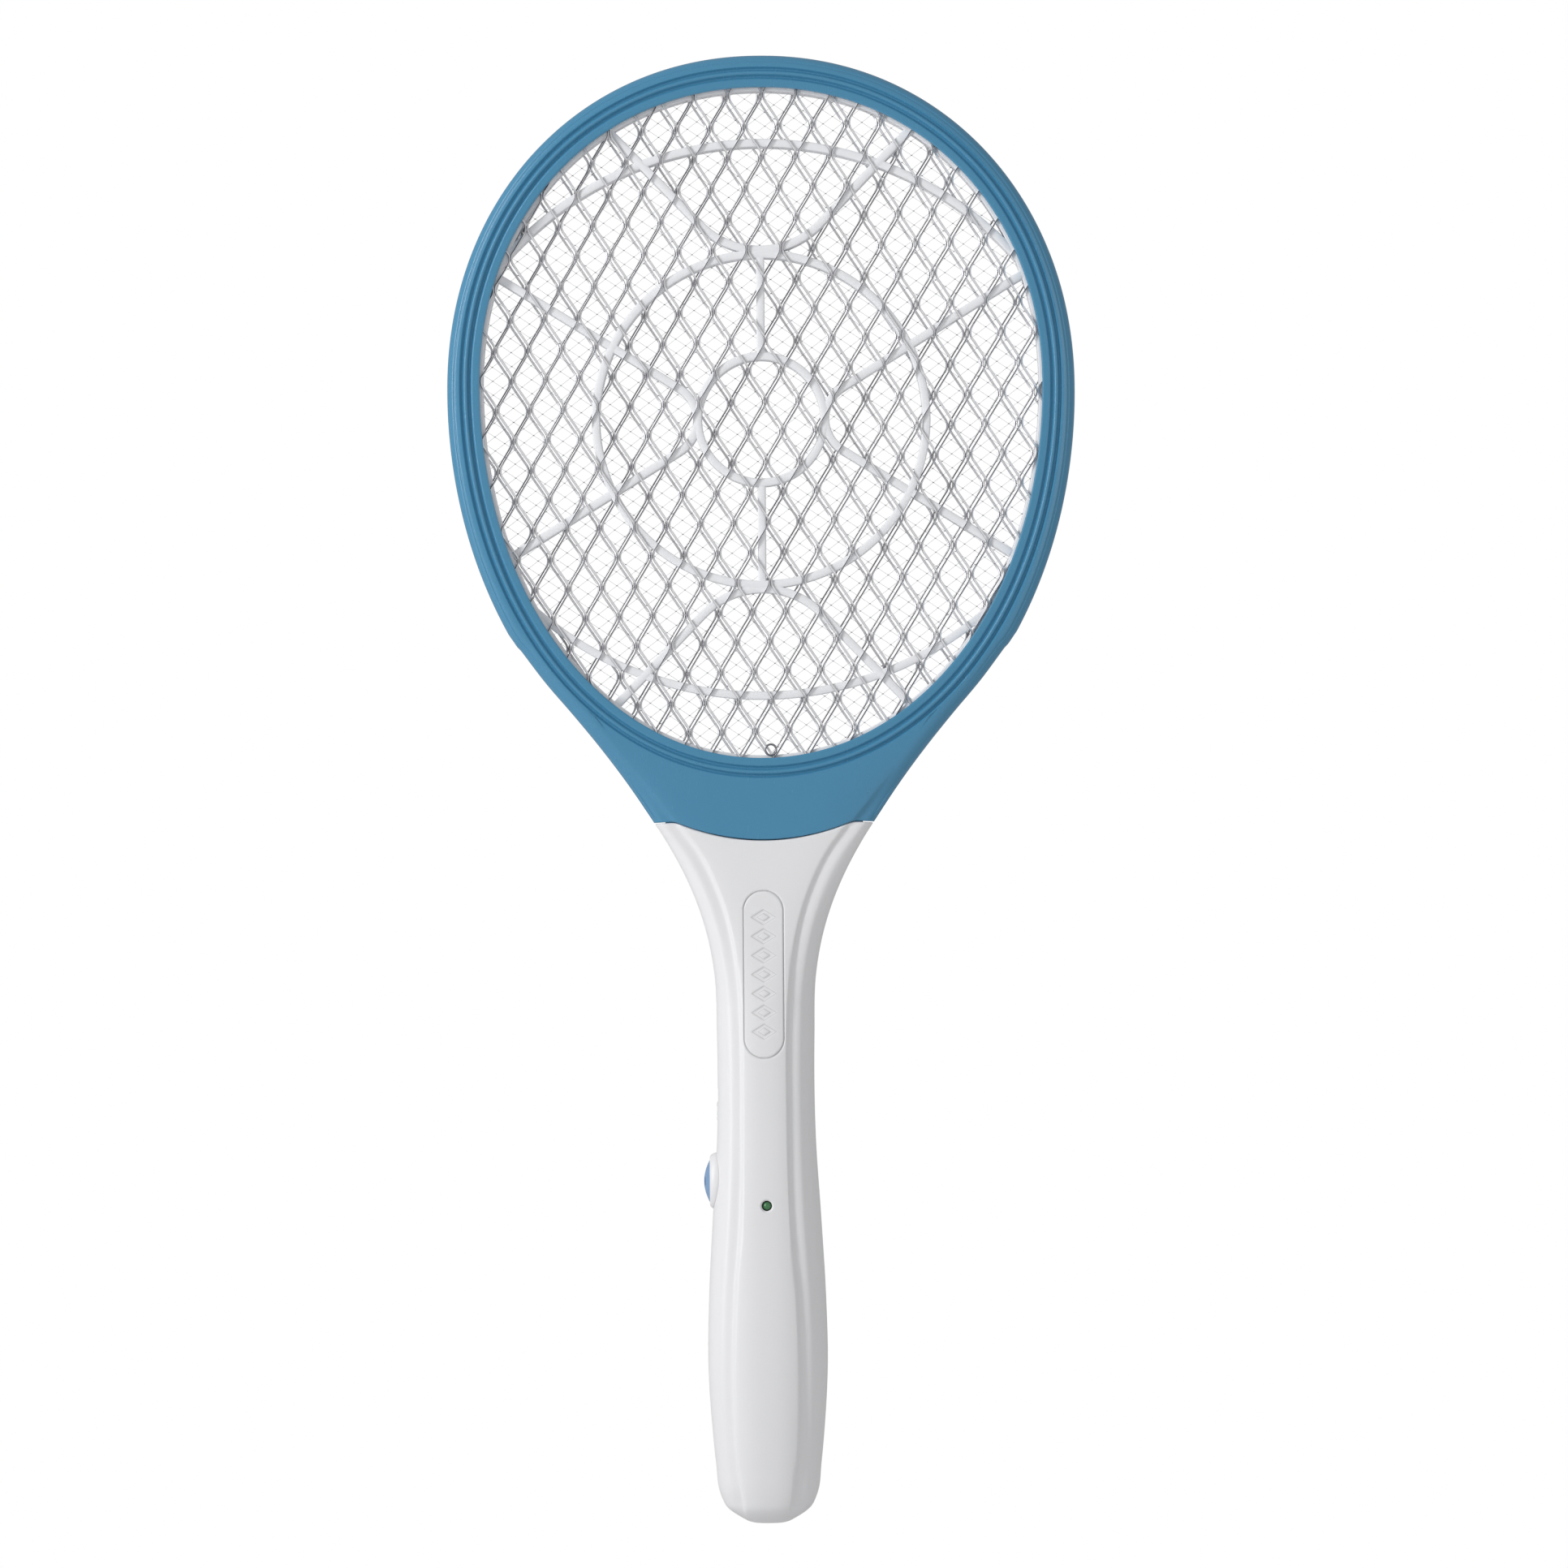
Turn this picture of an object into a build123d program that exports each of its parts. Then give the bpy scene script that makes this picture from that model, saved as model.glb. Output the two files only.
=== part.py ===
from build123d import *

import os
from math import copysign, cos, hypot, radians, sin

# Electric fly swatter. Lengths are in millimetres. The handle's bottom end stands on z = 0,
# the head is on top, the front faces -Y and the push button is on the -X side.

# ---- driving dimensions -------------------------------------------------------------------
HEAD_TOP_Z = 510.0
HEAD_HALF_WIDTH = 109.1
HEAD_CENTRE_Z = 393.5
HEAD_LOWER_REACH = 143.6
HEAD_HALF_DEPTH = 8.5

OPENING_HALF_WIDTH = 97.7
OPENING_CENTRE_Z = 395.5
OPENING_UPPER_REACH = 103.2
OPENING_LOWER_REACH = 129.7

SEAM_MIDDLE_Z = 237.5
SEAM_CREST_X = 31.1
SEAM_CREST_Z = 243.9
SEAM_OUTER_Z = 243.3
TONGUE_HALF_DEPTH = 5.8

WALL = 2.2
POCKET_GROWTH = 3.0
POCKET_DEPTH = 4.95
CHANNEL_FLOOR = 6.2
CHANNEL_INNER_GROWTH = 5.0

GRID_THICKNESS = 0.6
GRID_GROWTH = 2.6
GRID_FRONT_Y = -4.9
WEB_FRONT_Y = -4.2
WEB_REAR_Y = -0.4
WEB_CENTRE_Z = 383.6
RIB_WIDTH = 2.8
STRAND_WIDTH = 0.6
HOT_WIRE = 0.3

PIN_SPACING = 18.6
PIN_RADIUS = 2.0
PIN_TIP_Z = 3.4
PLUG_TRAVEL = 20.4
CARRIAGE_BOTTOM_Z = 27.4
CARRIAGE_TOP_Z = 38.0
THUMB_TRAY_Y = 13.7

BATTERY_BOTTOM_Z = 48.5
BATTERY_TOP_Z = 90.5
BOARD_BOTTOM_Z = 96.0
BOARD_TOP_Z = 165.0
BOARD_HALF_WIDTH = 13.0
BOARD_FRONT_Y = -3.6
BOARD_REAR_Y = -2.0

LED_Z = 110.8
BUTTON_Z = 118.6
BUTTON_TRAVEL = 1.6
SLIDE_SWITCH_Z = 144.9
SLIDE_TRAVEL = 4.0
LEAD_X = 4.8

# Half width and half depth of the handle and throat at each height, bottom end first.
HANDLE_SECTIONS = [
    (0.0, 6.0, 6.0),
    (0.5, 7.6, 7.4),
    (1.2, 8.9, 8.6),
    (2.9, 11.7, 11.2),
    (5.5, 14.8, 13.6),
    (9.6, 16.8, 14.9),
    (20.9, 18.4, 16.4),
    (32.2, 19.5, 17.1),
    (55.0, 20.8, 17.5),
    (77.5, 20.4, 17.2),
    (105.7, 18.9, 16.2),
    (134.0, 17.2, 15.2),
    (170.0, 17.0, 14.3),
    (190.6, 17.7, 13.5),
    (201.9, 19.6, 12.8),
    (213.2, 22.8, 11.9),
    (224.5, 27.4, 10.8),
    (235.8, 33.4, 9.6),
    (247.1, 40.6, 8.9),
]

# Half width of the throat above the handle, up to where the head's oval takes over.
THROAT_WIDTHS = [(258.4, 48.3), (269.7, 56.8), (281.0, 66.0), (292.3, 75.6)]

HANDLE_SCREWS = [(-11.0, 222.0), (11.0, 222.0), (0.0, 172.0), (-8.5, 43.6), (8.5, 43.6)]
BOARD_SCREW_HEIGHTS = [100.5, 160.0]
HEAD_SCREW_ANGLES = [25.0, 65.0, 115.0, 155.0, 197.0, 232.0, 308.0, 343.0]


# ---- small helpers ------------------------------------------------------------------------
def drawing_plane(y):
    """Plane at depth y whose sketches are drawn in X and Z, seen from the front."""
    return Plane(origin=(0, y, 0), x_dir=(1, 0, 0), z_dir=(0, -1, 0))


def slab(sketch, front, rear):
    """Solid of a sketch drawn in X and Z, from depth front to depth rear."""
    return extrude(drawing_plane(rear) * sketch, amount=rear - front)


def block(x0, x1, y0, y1, z0, z1):
    """Box between two corners."""
    middle = Pos((x0 + x1) / 2, (y0 + y1) / 2, (z0 + z1) / 2)
    return middle * Box(x1 - x0, y1 - y0, z1 - z0)


def rod_x(x0, x1, y, z, radius):
    """Round rod along X."""
    return Pos((x0 + x1) / 2, y, z) * Rot(0, 90, 0) * Cylinder(radius, x1 - x0)


def rod_y(x, y0, y1, z, radius):
    """Round rod along Y."""
    return Pos(x, (y0 + y1) / 2, z) * Rot(90, 0, 0) * Cylinder(radius, y1 - y0)


def rod_z(x, y, z0, z1, radius):
    """Round rod along Z."""
    return Pos(x, y, (z0 + z1) / 2) * Cylinder(radius, z1 - z0)


def save(name, shape):
    """Write one sub-part's STEP file."""
    export_step(shape, f"parts/{name}.step")


def group(shapes):
    """Several separate solids in one node."""
    solids = []
    for shape in shapes:
        solids.extend(shape.solids())
    return Compound(children=solids)


# ---- outlines -----------------------------------------------------------------------------
def oval_point(angle, half_width, upper, lower, centre_z, growth, power=2.06):
    """Point of a superellipse at an angle in degrees, moved outwards by growth."""
    c = cos(radians(angle))
    s = sin(radians(angle))
    reach = upper if s >= 0 else lower
    x = half_width * copysign(abs(c) ** (2 / power), c)
    z = reach * copysign(abs(s) ** (2 / power), s)
    slope_x = copysign(abs(x / half_width) ** (power - 1), c) / half_width
    slope_z = copysign(abs(z / reach) ** (power - 1), s) / reach
    size = hypot(slope_x, slope_z)
    return (x + growth * slope_x / size, centre_z + z + growth * slope_z / size)


def opening_point(angle, growth):
    """Point on the head's opening, or outside it by growth."""
    return oval_point(angle, OPENING_HALF_WIDTH, OPENING_UPPER_REACH, OPENING_LOWER_REACH,
                      OPENING_CENTRE_Z, growth)


def opening_outline(growth):
    """Closed face of the head's opening, grown outwards all round."""
    points = [opening_point(angle, growth) for angle in range(0, 360, 9)]
    return make_face(Spline(*points, periodic=True))


def head_outline(inset):
    """Face of the head with its throat, set in from the outer edge; it runs below the seam."""
    upper = HEAD_TOP_Z - HEAD_CENTRE_Z
    side = [(width, z) for z, width, depth in HANDLE_SECTIONS if z > 220]
    side += [(width, z) for z, width in THROAT_WIDTHS]
    for angle in range(-36, 90, 9):
        side.append(oval_point(angle, HEAD_HALF_WIDTH, upper, HEAD_LOWER_REACH,
                               HEAD_CENTRE_Z, 0.0))
    left = [(-x, z) for x, z in reversed(side)]
    loop = side + [(0.0, HEAD_TOP_Z)] + left
    moved = []
    for index, (x, z) in enumerate(loop):
        before = loop[max(index - 1, 0)]
        after = loop[min(index + 1, len(loop) - 1)]
        run = hypot(after[0] - before[0], after[1] - before[1])
        moved.append((x - inset * (after[1] - before[1]) / run,
                      z + inset * (after[0] - before[0]) / run))
    top = Spline(*moved)
    return make_face(top + Line(top @ 1, top @ 0))


def below_seam(gap):
    """Face that covers everything under the seam between the head and the handle."""
    left = (-SEAM_CREST_X, SEAM_CREST_Z - gap)
    right = (SEAM_CREST_X, SEAM_CREST_Z - gap)
    arc = ThreePointArc(left, (0, SEAM_MIDDLE_Z - gap), right)
    out = 60.0
    low = -20.0
    rest = Polyline(right, (out, SEAM_OUTER_Z - gap), (out, low), (-out, low),
                    (-out, SEAM_OUTER_Z - gap), left)
    return make_face(arc + rest)


# ---- head frames --------------------------------------------------------------------------
def head_body():
    """Outer form of the front half of the head: a thick plate with a rounded outer side."""
    steps = [(2.6, -HEAD_HALF_DEPTH), (1.0, -HEAD_HALF_DEPTH + 0.7),
             (0.2, -HEAD_HALF_DEPTH + 2.2), (0.0, -HEAD_HALF_DEPTH + 4.0), (0.0, 0.0)]
    sections = [drawing_plane(y) * head_outline(inset) for inset, y in steps]
    plate = loft(sections, ruled=True)
    return plate - slab(below_seam(0.0), -20, 5)


def head_screw_places():
    """Middles of the screw posts, halfway across the frame's channel."""
    return [opening_point(angle, 7.0) for angle in HEAD_SCREW_ANGLES]


def head_half():
    """Front half of the head frame, hollow behind, with posts and a tongue for the handle."""
    half = head_body()
    half -= slab(opening_outline(0.0), -20, 5)
    half -= slab(opening_outline(POCKET_GROWTH), -POCKET_DEPTH, 5)
    hollow = head_outline(WALL) - opening_outline(CHANNEL_INNER_GROWTH) - below_seam(-WALL)
    half -= slab(hollow, -CHANNEL_FLOOR, 5)
    for x, z in head_screw_places():
        half += rod_y(x, -CHANNEL_FLOOR - 0.5, 0, z, 2.3)
    half += block(-17, 17, -TONGUE_HALF_DEPTH, 0, 214, SEAM_CREST_Z - 1)
    passage = block(-6, 6, -4.0, 5, 210, 264) + block(-6, 6, -POCKET_DEPTH, 5, 260, 264)
    return half - passage


def head_frame_front():
    """Front frame: pilot holes for the head screws and clearance holes in its tongue."""
    frame = head_half()
    for x, z in head_screw_places():
        frame -= rod_y(x, -5.0, 1, z, 0.85)
    for x, z in HANDLE_SCREWS[:2]:
        frame -= rod_y(x, -10, 1, z, 1.8)
    return frame


def head_frame_rear():
    """Rear frame: mirror form with clearance holes and sunk seats for the screw heads."""
    frame = mirror(head_half(), about=Plane.XZ)
    for x, z in head_screw_places():
        frame -= rod_y(x, -1, 12, z, 1.25)
        frame -= rod_y(x, 5.6, 12, z, 2.2)
    for x, z in HANDLE_SCREWS[:2]:
        frame -= rod_y(x, -1, 10, z, 1.8)
    return frame


# ---- grids and spacers --------------------------------------------------------------------
GRID_START = (-4.02, 400.43)
GRID_ACROSS = (11.71, 0.29)
GRID_DOWN = (6.0, -10.31)


def diamond_hole(column, row):
    """One opening of the expanded mesh, a four-sided hole between the strands."""
    shift = column - 0.5 - (row - row % 2) / 2
    x = GRID_START[0] + shift * GRID_ACROSS[0] + row * GRID_DOWN[0]
    z = GRID_START[1] + shift * GRID_ACROSS[1] + row * GRID_DOWN[1]
    side = GRID_ACROSS[0] / 2 - STRAND_WIDTH / 2 - 0.3
    tip = -GRID_DOWN[1] - STRAND_WIDTH - 0.6
    return [(x - side, z), (x, z + tip), (x + side, z), (x, z - tip)]


def guard_grid(front):
    """Expanded-metal guard grid whose edge band is clamped in the frame."""
    region = opening_outline(0.4)
    cuts = []
    for row in range(-13, 15):
        for column in range(-12, 13):
            points = diamond_hole(column, row)
            corners = [inside_opening(x, z) for x, z in points]
            if not any(corners):
                continue
            hole = make_face(Polyline(*points, close=True))
            if not all(corners):
                hole = hole & region
            cuts.extend(hole.faces())
    outer = opening_outline(GRID_GROWTH).face().outer_wire()
    sheet = Face(outer, [cut.outer_wire() for cut in cuts])
    return slab(sheet, front, front + GRID_THICKNESS)


def inside_opening(x, z):
    """Whether a point lies inside the opening's oval."""
    reach = OPENING_UPPER_REACH if z > OPENING_CENTRE_Z else OPENING_LOWER_REACH
    across = abs(x / OPENING_HALF_WIDTH)
    along = abs((z - OPENING_CENTRE_Z) / reach)
    return across ** 2.06 + along ** 2.06 < 1.0


def ring_face(radius):
    """Flat ring of the spacer web about the web's centre."""
    ring = Circle(radius + RIB_WIDTH / 2) - Circle(radius - RIB_WIDTH / 2)
    return Pos(0, WEB_CENTRE_Z) * ring


def chevron_rib(apex, slope, bend, turn):
    """V-shaped rib about the web's centre: two straight runs joined by an arc, then turned."""
    far = 130.0
    half = radians(slope)
    end = (apex + far * cos(half), far * sin(half))
    line = FilletPolyline((end[0], -end[1]), (apex, 0), end, radius=bend)
    return Pos(0, WEB_CENTRE_Z) * Rot(0, 0, turn) * trace(line, RIB_WIDTH)


def bow_rib(turn):
    """Long bowed rib that crosses the head above or below the rings."""
    bow = Circle(119.4 + RIB_WIDTH / 2) - Circle(119.4 - RIB_WIDTH / 2)
    return Pos(0, WEB_CENTRE_Z) * Rot(0, 0, turn) * Pos(0, 96.1 - 119.4) * bow


def spacer_web(front):
    """Plastic web that keeps a guard grid away from the live grid."""
    middle = Pos(0, WEB_CENTRE_Z)
    ribs = ring_face(22.0) + ring_face(57.5)
    ribs += middle * (Pos(0, 39.75) * Rectangle(RIB_WIDTH, 34))
    ribs += middle * (Pos(0, -39.75) * Rectangle(RIB_WIDTH, 34))
    for turn in (0, 180):
        ribs += chevron_rib(10.7, 31.8, 12.9, turn)
        ribs += chevron_rib(46.4, 44.1, 28.8, turn + 90)
        keep = middle * (Pos(0, 75) * Rectangle(240, 110))
        if turn:
            keep = middle * (Pos(0, -75) * Rectangle(240, 110))
        ribs += bow_rib(turn) & keep
    ribs = ribs & opening_outline(1.0)
    rim = opening_outline(GRID_GROWTH) - opening_outline(-1.0)
    return slab(ribs + rim, front, front + WEB_REAR_Y - WEB_FRONT_Y)


def wire_run(direction, spacing, slant, front):
    """Parallel straight wires of the live grid, each cut to the opening."""
    region = slab(opening_outline(0.8), -1, 1)
    across = (-direction[1], direction[0])
    wires = []
    for step in range(-32, 33):
        offset = (step + slant) * spacing
        middle = (across[0] * offset, OPENING_CENTRE_Z - 13 + across[1] * offset)
        reach = (150 * direction[0], 150 * direction[1])
        bar = Pos(*middle) * Line((-reach[0], -reach[1]), reach)
        wire = slab(trace(bar, HOT_WIRE), front, front + HOT_WIRE) & region
        if wire is not None and wire.volume > 1.0:
            wires.extend(wire.solids())
    return wires


def hot_grid():
    """Live grid: two layers of crossing wires inside a thin clamping ring."""
    ring = opening_outline(GRID_GROWTH) - opening_outline(0.8)
    parts = [slab(ring, -HOT_WIRE, HOT_WIRE)]
    parts.extend(wire_run((0.830, -0.558), 3.95, 0.0, -HOT_WIRE))
    parts.extend(wire_run((0.793, 0.609), 3.94, 0.5, 0.0))
    return group(parts)


# ---- handle shells ------------------------------------------------------------------------
def section_face(z, width, depth):
    """Rounded cross-section of the handle at one height."""
    flattening = min(max((z - 180.0) / 64.0, 0.0), 1.0)
    power = 2.4 + 2.1 * flattening
    points = []
    for angle in range(0, 360, 15):
        c = cos(radians(angle))
        s = sin(radians(angle))
        points.append((width * copysign(abs(c) ** (2 / power), c),
                       depth * copysign(abs(s) ** (2 / power), s)))
    return Pos(0, 0, z) * make_face(Spline(*points, periodic=True))


def handle_solid(inset, bottom):
    """Handle filled solid, smaller by an inset, from a bottom height to above the seam."""
    sections = []
    for z, width, depth in HANDLE_SECTIONS:
        if z >= bottom:
            sections.append(section_face(z, width - inset, depth - inset))
    return loft(sections, ruled=True)


def handle_half(outer, inner, side):
    """One hollow half of the handle; side is -1 for the front and +1 for the rear."""
    half_space = block(-60, 60, -30, 0, -5, 260)
    if side > 0:
        half_space = block(-60, 60, 0, 30, -5, 260)
    half = (outer - inner) & half_space
    half -= slab(head_outline(-5) - below_seam(0.2), -30, 30)
    half -= slab(Rectangle(200, 60).moved(Location((0, 275))), -30, 30)
    for low in (BATTERY_BOTTOM_Z - 1.7, BATTERY_TOP_Z + 0.2):
        rib = block(-30, 30, -30, 30, low, low + 1.5) & inner & half_space
        half += rib - block(-14.5, 14.5, -7.0, 7.0, low - 1, low + 3)
    return half


def side_windows():
    """Cut-outs in the -X side for the button bezel and the slide switch."""
    bezel = Pos(-18, 0, BUTTON_Z) * Rot(0, 90, 0) * extrude(Ellipse(10.4, 7.9), 10, both=True)
    knob = block(-30, -10, -2.7, 2.7, SLIDE_SWITCH_Z - 6, SLIDE_SWITCH_Z + 6)
    return bezel + knob


def pin_holes():
    """Round holes in the bottom end where the charging pins come out."""
    return rod_z(-PIN_SPACING / 2, 0, -5, 12, 2.35) + rod_z(PIN_SPACING / 2, 0, -5, 12, 2.35)


def handle_shell_front(outer, inner):
    """Front shell with the light's hole, board posts and screw posts."""
    shell = handle_half(outer, inner, -1)
    for x, z in HANDLE_SCREWS:
        reach = -TONGUE_HALF_DEPTH - 0.2 if z > 200 else -0.1
        shell += rod_y(x, -30, reach, z, 3.0) & outer
    for z in BOARD_SCREW_HEIGHTS:
        shell += rod_y(0, -30, BOARD_FRONT_Y, z, 2.6) & outer
        shell -= rod_y(0, -10, 0, z, 0.9)
    for x, z in HANDLE_SCREWS:
        shell -= rod_y(x, -9.5 if z > 200 else -8.0, 1, z, 1.1)
    shell -= rod_y(0, -30, -10, LED_Z, 1.7)
    shell -= side_windows()
    return shell - pin_holes()


def handle_shell_rear(outer, inner):
    """Rear shell with sunk screw holes and the slot for the plug's thumb slider."""
    shell = handle_half(outer, inner, 1)
    for x, z in HANDLE_SCREWS:
        reach = TONGUE_HALF_DEPTH + 0.2 if z > 200 else 0.1
        shell += rod_y(x, reach, 30, z, 3.6) & outer
    for x, z in HANDLE_SCREWS:
        shell -= rod_y(x, -1, 30, z, 1.6)
        shell -= rod_y(x, 8.2, 30, z, 2.7)
    shell += block(-8, 8, THUMB_TRAY_Y - 1.6, 30, 4, 44) & outer
    shell -= block(-5.6, 5.6, THUMB_TRAY_Y, 30, 4, 40.2)
    shell -= block(-2.4, 2.4, 8, 30, 29.4 - PLUG_TRAVEL, 36.6)
    shell -= side_windows()
    return shell - pin_holes()


# ---- button, switches, light --------------------------------------------------------------
def oval_x(x0, x1, half_z, half_y, z):
    """Oval solid along X."""
    shape = extrude(Ellipse(half_z, half_y), x1 - x0)
    return Pos(x0, 0, z) * Rot(0, 90, 0) * shape


def button_bezel():
    """Oval collar that frames the push button, held in the shells' notch."""
    collar = oval_x(-19.8, -13.2, 10.0, 7.5, BUTTON_Z)
    collar -= oval_x(-21, -17.2, 8.3, 5.8, BUTTON_Z)
    collar -= oval_x(-18, -12, 8.0, 5.5, BUTTON_Z)
    collar -= oval_x(-16.2, -12, 9.2, 6.7, BUTTON_Z)
    return collar


def push_button():
    """Domed oval button with a retaining flange and a post for the switch."""
    cap = oval_x(-21.8, -16.0, 7.6, 5.2, BUTTON_Z)
    cap = fillet(cap.faces().sort_by(Axis.X)[0].edges(), 1.5)
    flange = oval_x(-16.0, -14.9, 8.7, 6.3, BUTTON_Z)
    post = rod_x(-15.0, -9.2, 0, BUTTON_Z, 1.6)
    return cap + flange + post


def button_spring():
    """Return spring around the switch plunger."""
    coil = Helix(pitch=0.95, height=3.4, radius=2.2)
    path = Pos(-8.2, 0, BUTTON_Z) * Rot(0, 90, 0) * coil
    start = path @ 0
    profile = Plane(origin=start, z_dir=path % 0) * Circle(0.2)
    return sweep(profile, path=path, is_frenet=True)


def switch_plunger():
    """Plunger of the momentary switch, pushed by the button's post."""
    return rod_x(-9.2, -3.0, 0, BUTTON_Z, 1.3) + rod_x(-9.2, -8.5, 0, BUTTON_Z, 2.6)


def button_switch():
    """Body of the momentary switch, standing on the board."""
    body = block(-4.6, 3.4, BOARD_REAR_Y, 4.2, BUTTON_Z - 4.2, BUTTON_Z + 4.2)
    bore = rod_x(-5, 2 * BUTTON_TRAVEL - 3.0, 0, BUTTON_Z, 1.36)
    return body - bore


def slide_switch():
    """Main power slide switch on its own foot beside the board."""
    body = block(-14.0, -9.6, -3.0, 3.0, SLIDE_SWITCH_Z - 7, SLIDE_SWITCH_Z + 7)
    slot = block(-14.5, -11.6, -1.5, 1.5, SLIDE_SWITCH_Z - 5.2, SLIDE_SWITCH_Z + 5.2)
    return body - slot


def slide_knob():
    """Ribbed thumb piece of the slide switch, at its lower stop."""
    z = SLIDE_SWITCH_Z - SLIDE_TRAVEL / 2
    knob = block(-17.0, -14.3, -2.3, 2.3, z - 3.2, z + 3.2)
    knob += block(-14.4, -12.0, -1.2, 1.2, z - 2.2, z + 2.2)
    for offset in (-2.2, -1.1, 0.0, 1.1, 2.2):
        knob += block(-17.3, -16.9, -2.3, 2.3, z + offset - 0.25, z + offset + 0.25)
    return knob


def indicator_light():
    """Round indicator light on two legs, its lens in the front shell's hole."""
    lens = rod_y(0, -14.2, -10.0, LED_Z, 1.5) + Pos(0, -14.2, LED_Z) * Sphere(1.5)
    lens += rod_y(0, -10.6, -9.6, LED_Z, 1.9)
    for x in (-0.9, 0.9):
        lens += rod_y(x, -9.7, BOARD_FRONT_Y, LED_Z, 0.25)
    return lens


# ---- charging plug ------------------------------------------------------------------------
def plug_carriage():
    """Sliding block that carries the charging pins, with a neck for the thumb slider."""
    carriage = block(-12.0, 12.0, -5.0, 5.0, CARRIAGE_BOTTOM_Z, CARRIAGE_TOP_Z)
    carriage += block(-2.0, 2.0, 4.9, THUMB_TRAY_Y + 0.2, 30.0, 36.0)
    for x in (-PIN_SPACING / 2, PIN_SPACING / 2):
        carriage -= rod_z(x, 0, 20, 36.0, PIN_RADIUS)
        carriage -= rod_z(x, 0, 35.0, 40, 1.2)
    return carriage


def plug_pins():
    """Two round charging pins with their inner ends."""
    pins = []
    for x in (-PIN_SPACING / 2, PIN_SPACING / 2):
        pin = rod_z(x, 0, PIN_TIP_Z, 36.0, PIN_RADIUS)
        pin = chamfer(pin.faces().sort_by(Axis.Z)[0].edges(), 1.0)
        pin += rod_z(x, 0, 35.5, 39.4, 1.2)
        pins.append(pin)
    return group(pins)


def thumb_slider():
    """Ribbed pad on the rear that pushes the plug out."""
    base = THUMB_TRAY_Y + 0.2
    pad = block(-5.0, 5.0, base, base + 1.6, 26.6, 39.4)
    for step in range(6):
        z = 28.0 + 2.0 * step
        pad += block(-4.6, 4.6, base + 1.5, base + 2.4, z - 0.5, z + 0.5)
    return pad


def charging_contacts():
    """Two springy strips that carry charging current from the pins to the board."""
    strips = []
    for side in (-1, 1):
        inner = side * 13.05
        outer = side * 13.45
        x0 = min(inner, outer)
        x1 = max(inner, outer)
        strips.append(block(x0, x1, -1.5, 1.5, 14.0, 94.5)
                      + block(x0, x1, -3.4, 1.5, 94.4, 101.0))
    return group(strips)


# ---- electronics --------------------------------------------------------------------------
def circuit_board():
    """Board with fixing holes and a notch at the button."""
    board = block(-BOARD_HALF_WIDTH, BOARD_HALF_WIDTH, BOARD_FRONT_Y, BOARD_REAR_Y,
                  BOARD_BOTTOM_Z, BOARD_TOP_Z)
    board -= block(-14, -8.8, -5, 0, BUTTON_Z - 9.8, BUTTON_Z + 9.8)
    board -= block(-9, -4.8, -5, 0, BUTTON_Z - 3.2, BUTTON_Z + 3.2)
    board -= block(-14, -9.4, -5, 0, SLIDE_SWITCH_Z - 7.4, SLIDE_SWITCH_Z + 7.4)
    for z in BOARD_SCREW_HEIGHTS:
        board -= rod_y(0, -5, 0, z, 1.3)
    return board


def board_screws():
    """Screws that hold the board to the front shell's posts."""
    screws = []
    for z in BOARD_SCREW_HEIGHTS:
        screws.append(rod_y(0, -8.0, BOARD_REAR_Y, z, 0.9)
                      + rod_y(0, BOARD_REAR_Y, -0.6, z, 2.0))
    return group(screws)


def transformer_core():
    """Ferrite core of the high-voltage transformer: a frame with a middle leg."""
    core = block(-0.5, 12.0, -1.4, 8.6, 138.0, 151.0)
    core -= block(2.0, 4.4, -2, 9, 140.4, 148.6)
    core -= block(7.1, 9.5, -2, 9, 140.4, 148.6)
    return core


def transformer_winding():
    """Taped winding around the core's middle leg."""
    coil = block(2.1, 9.4, -1.0, 10.4, 140.5, 148.5)
    return coil - block(4.3, 7.2, -1.4, 8.7, 140.3, 148.7)


def film_capacitor():
    """Box capacitor of the charging circuit."""
    return block(2.0, 12.0, BOARD_REAR_Y, 6.0, 104.0, 111.0)


def hv_capacitors():
    """Two disc-like high-voltage capacitors on legs."""
    discs = []
    for x in (-8.0, -3.6):
        disc = rod_x(x, x + 2.6, 4.0, 131.5, 4.4)
        disc += rod_y(x + 1.3, BOARD_REAR_Y, 0.2, 129.5, 0.3)
        disc += rod_y(x + 1.3, BOARD_REAR_Y, 0.2, 133.5, 0.3)
        discs.append(disc)
    return group(discs)


def axial_part(x, z, length, radius):
    """Small axial component lying along Z just above the board, with its bent legs."""
    y = BOARD_REAR_Y + radius + 0.5
    part = rod_z(x, y, z - length / 2, z + length / 2, radius)
    part += rod_z(x, y, z - length / 2 - 1.6, z + length / 2 + 1.6, 0.3)
    for end in (-1, 1):
        place = z + end * (length / 2 + 1.4)
        part += rod_y(x, BOARD_REAR_Y, y, place, 0.3)
    return part


def diodes():
    """Rectifier and high-voltage diodes."""
    places = [(6.0, 118.0), (9.0, 118.0), (6.0, 127.5), (9.0, 127.5), (-6.0, 144.0)]
    return group([axial_part(x, z, 4.6, 1.1) for x, z in places])


def resistors():
    """Small resistors."""
    places = [(-10.5, 102.0), (-7.5, 102.0), (-4.5, 102.0), (-2.8, 144.0), (12.0, 122.0)]
    return group([axial_part(x, z, 5.6, 0.9) for x, z in places])


def power_transistor():
    """Transistor that drives the transformer."""
    body = rod_y(-5.5, 0.0, 5.0, 156.0, 2.3) & block(-8, -3, 0, 5, 153, 157.4)
    for x in (-6.8, -5.5, -4.2):
        body += block(x - 0.2, x + 0.2, BOARD_REAR_Y, 0.2, 155.4, 155.9)
    return body


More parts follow.
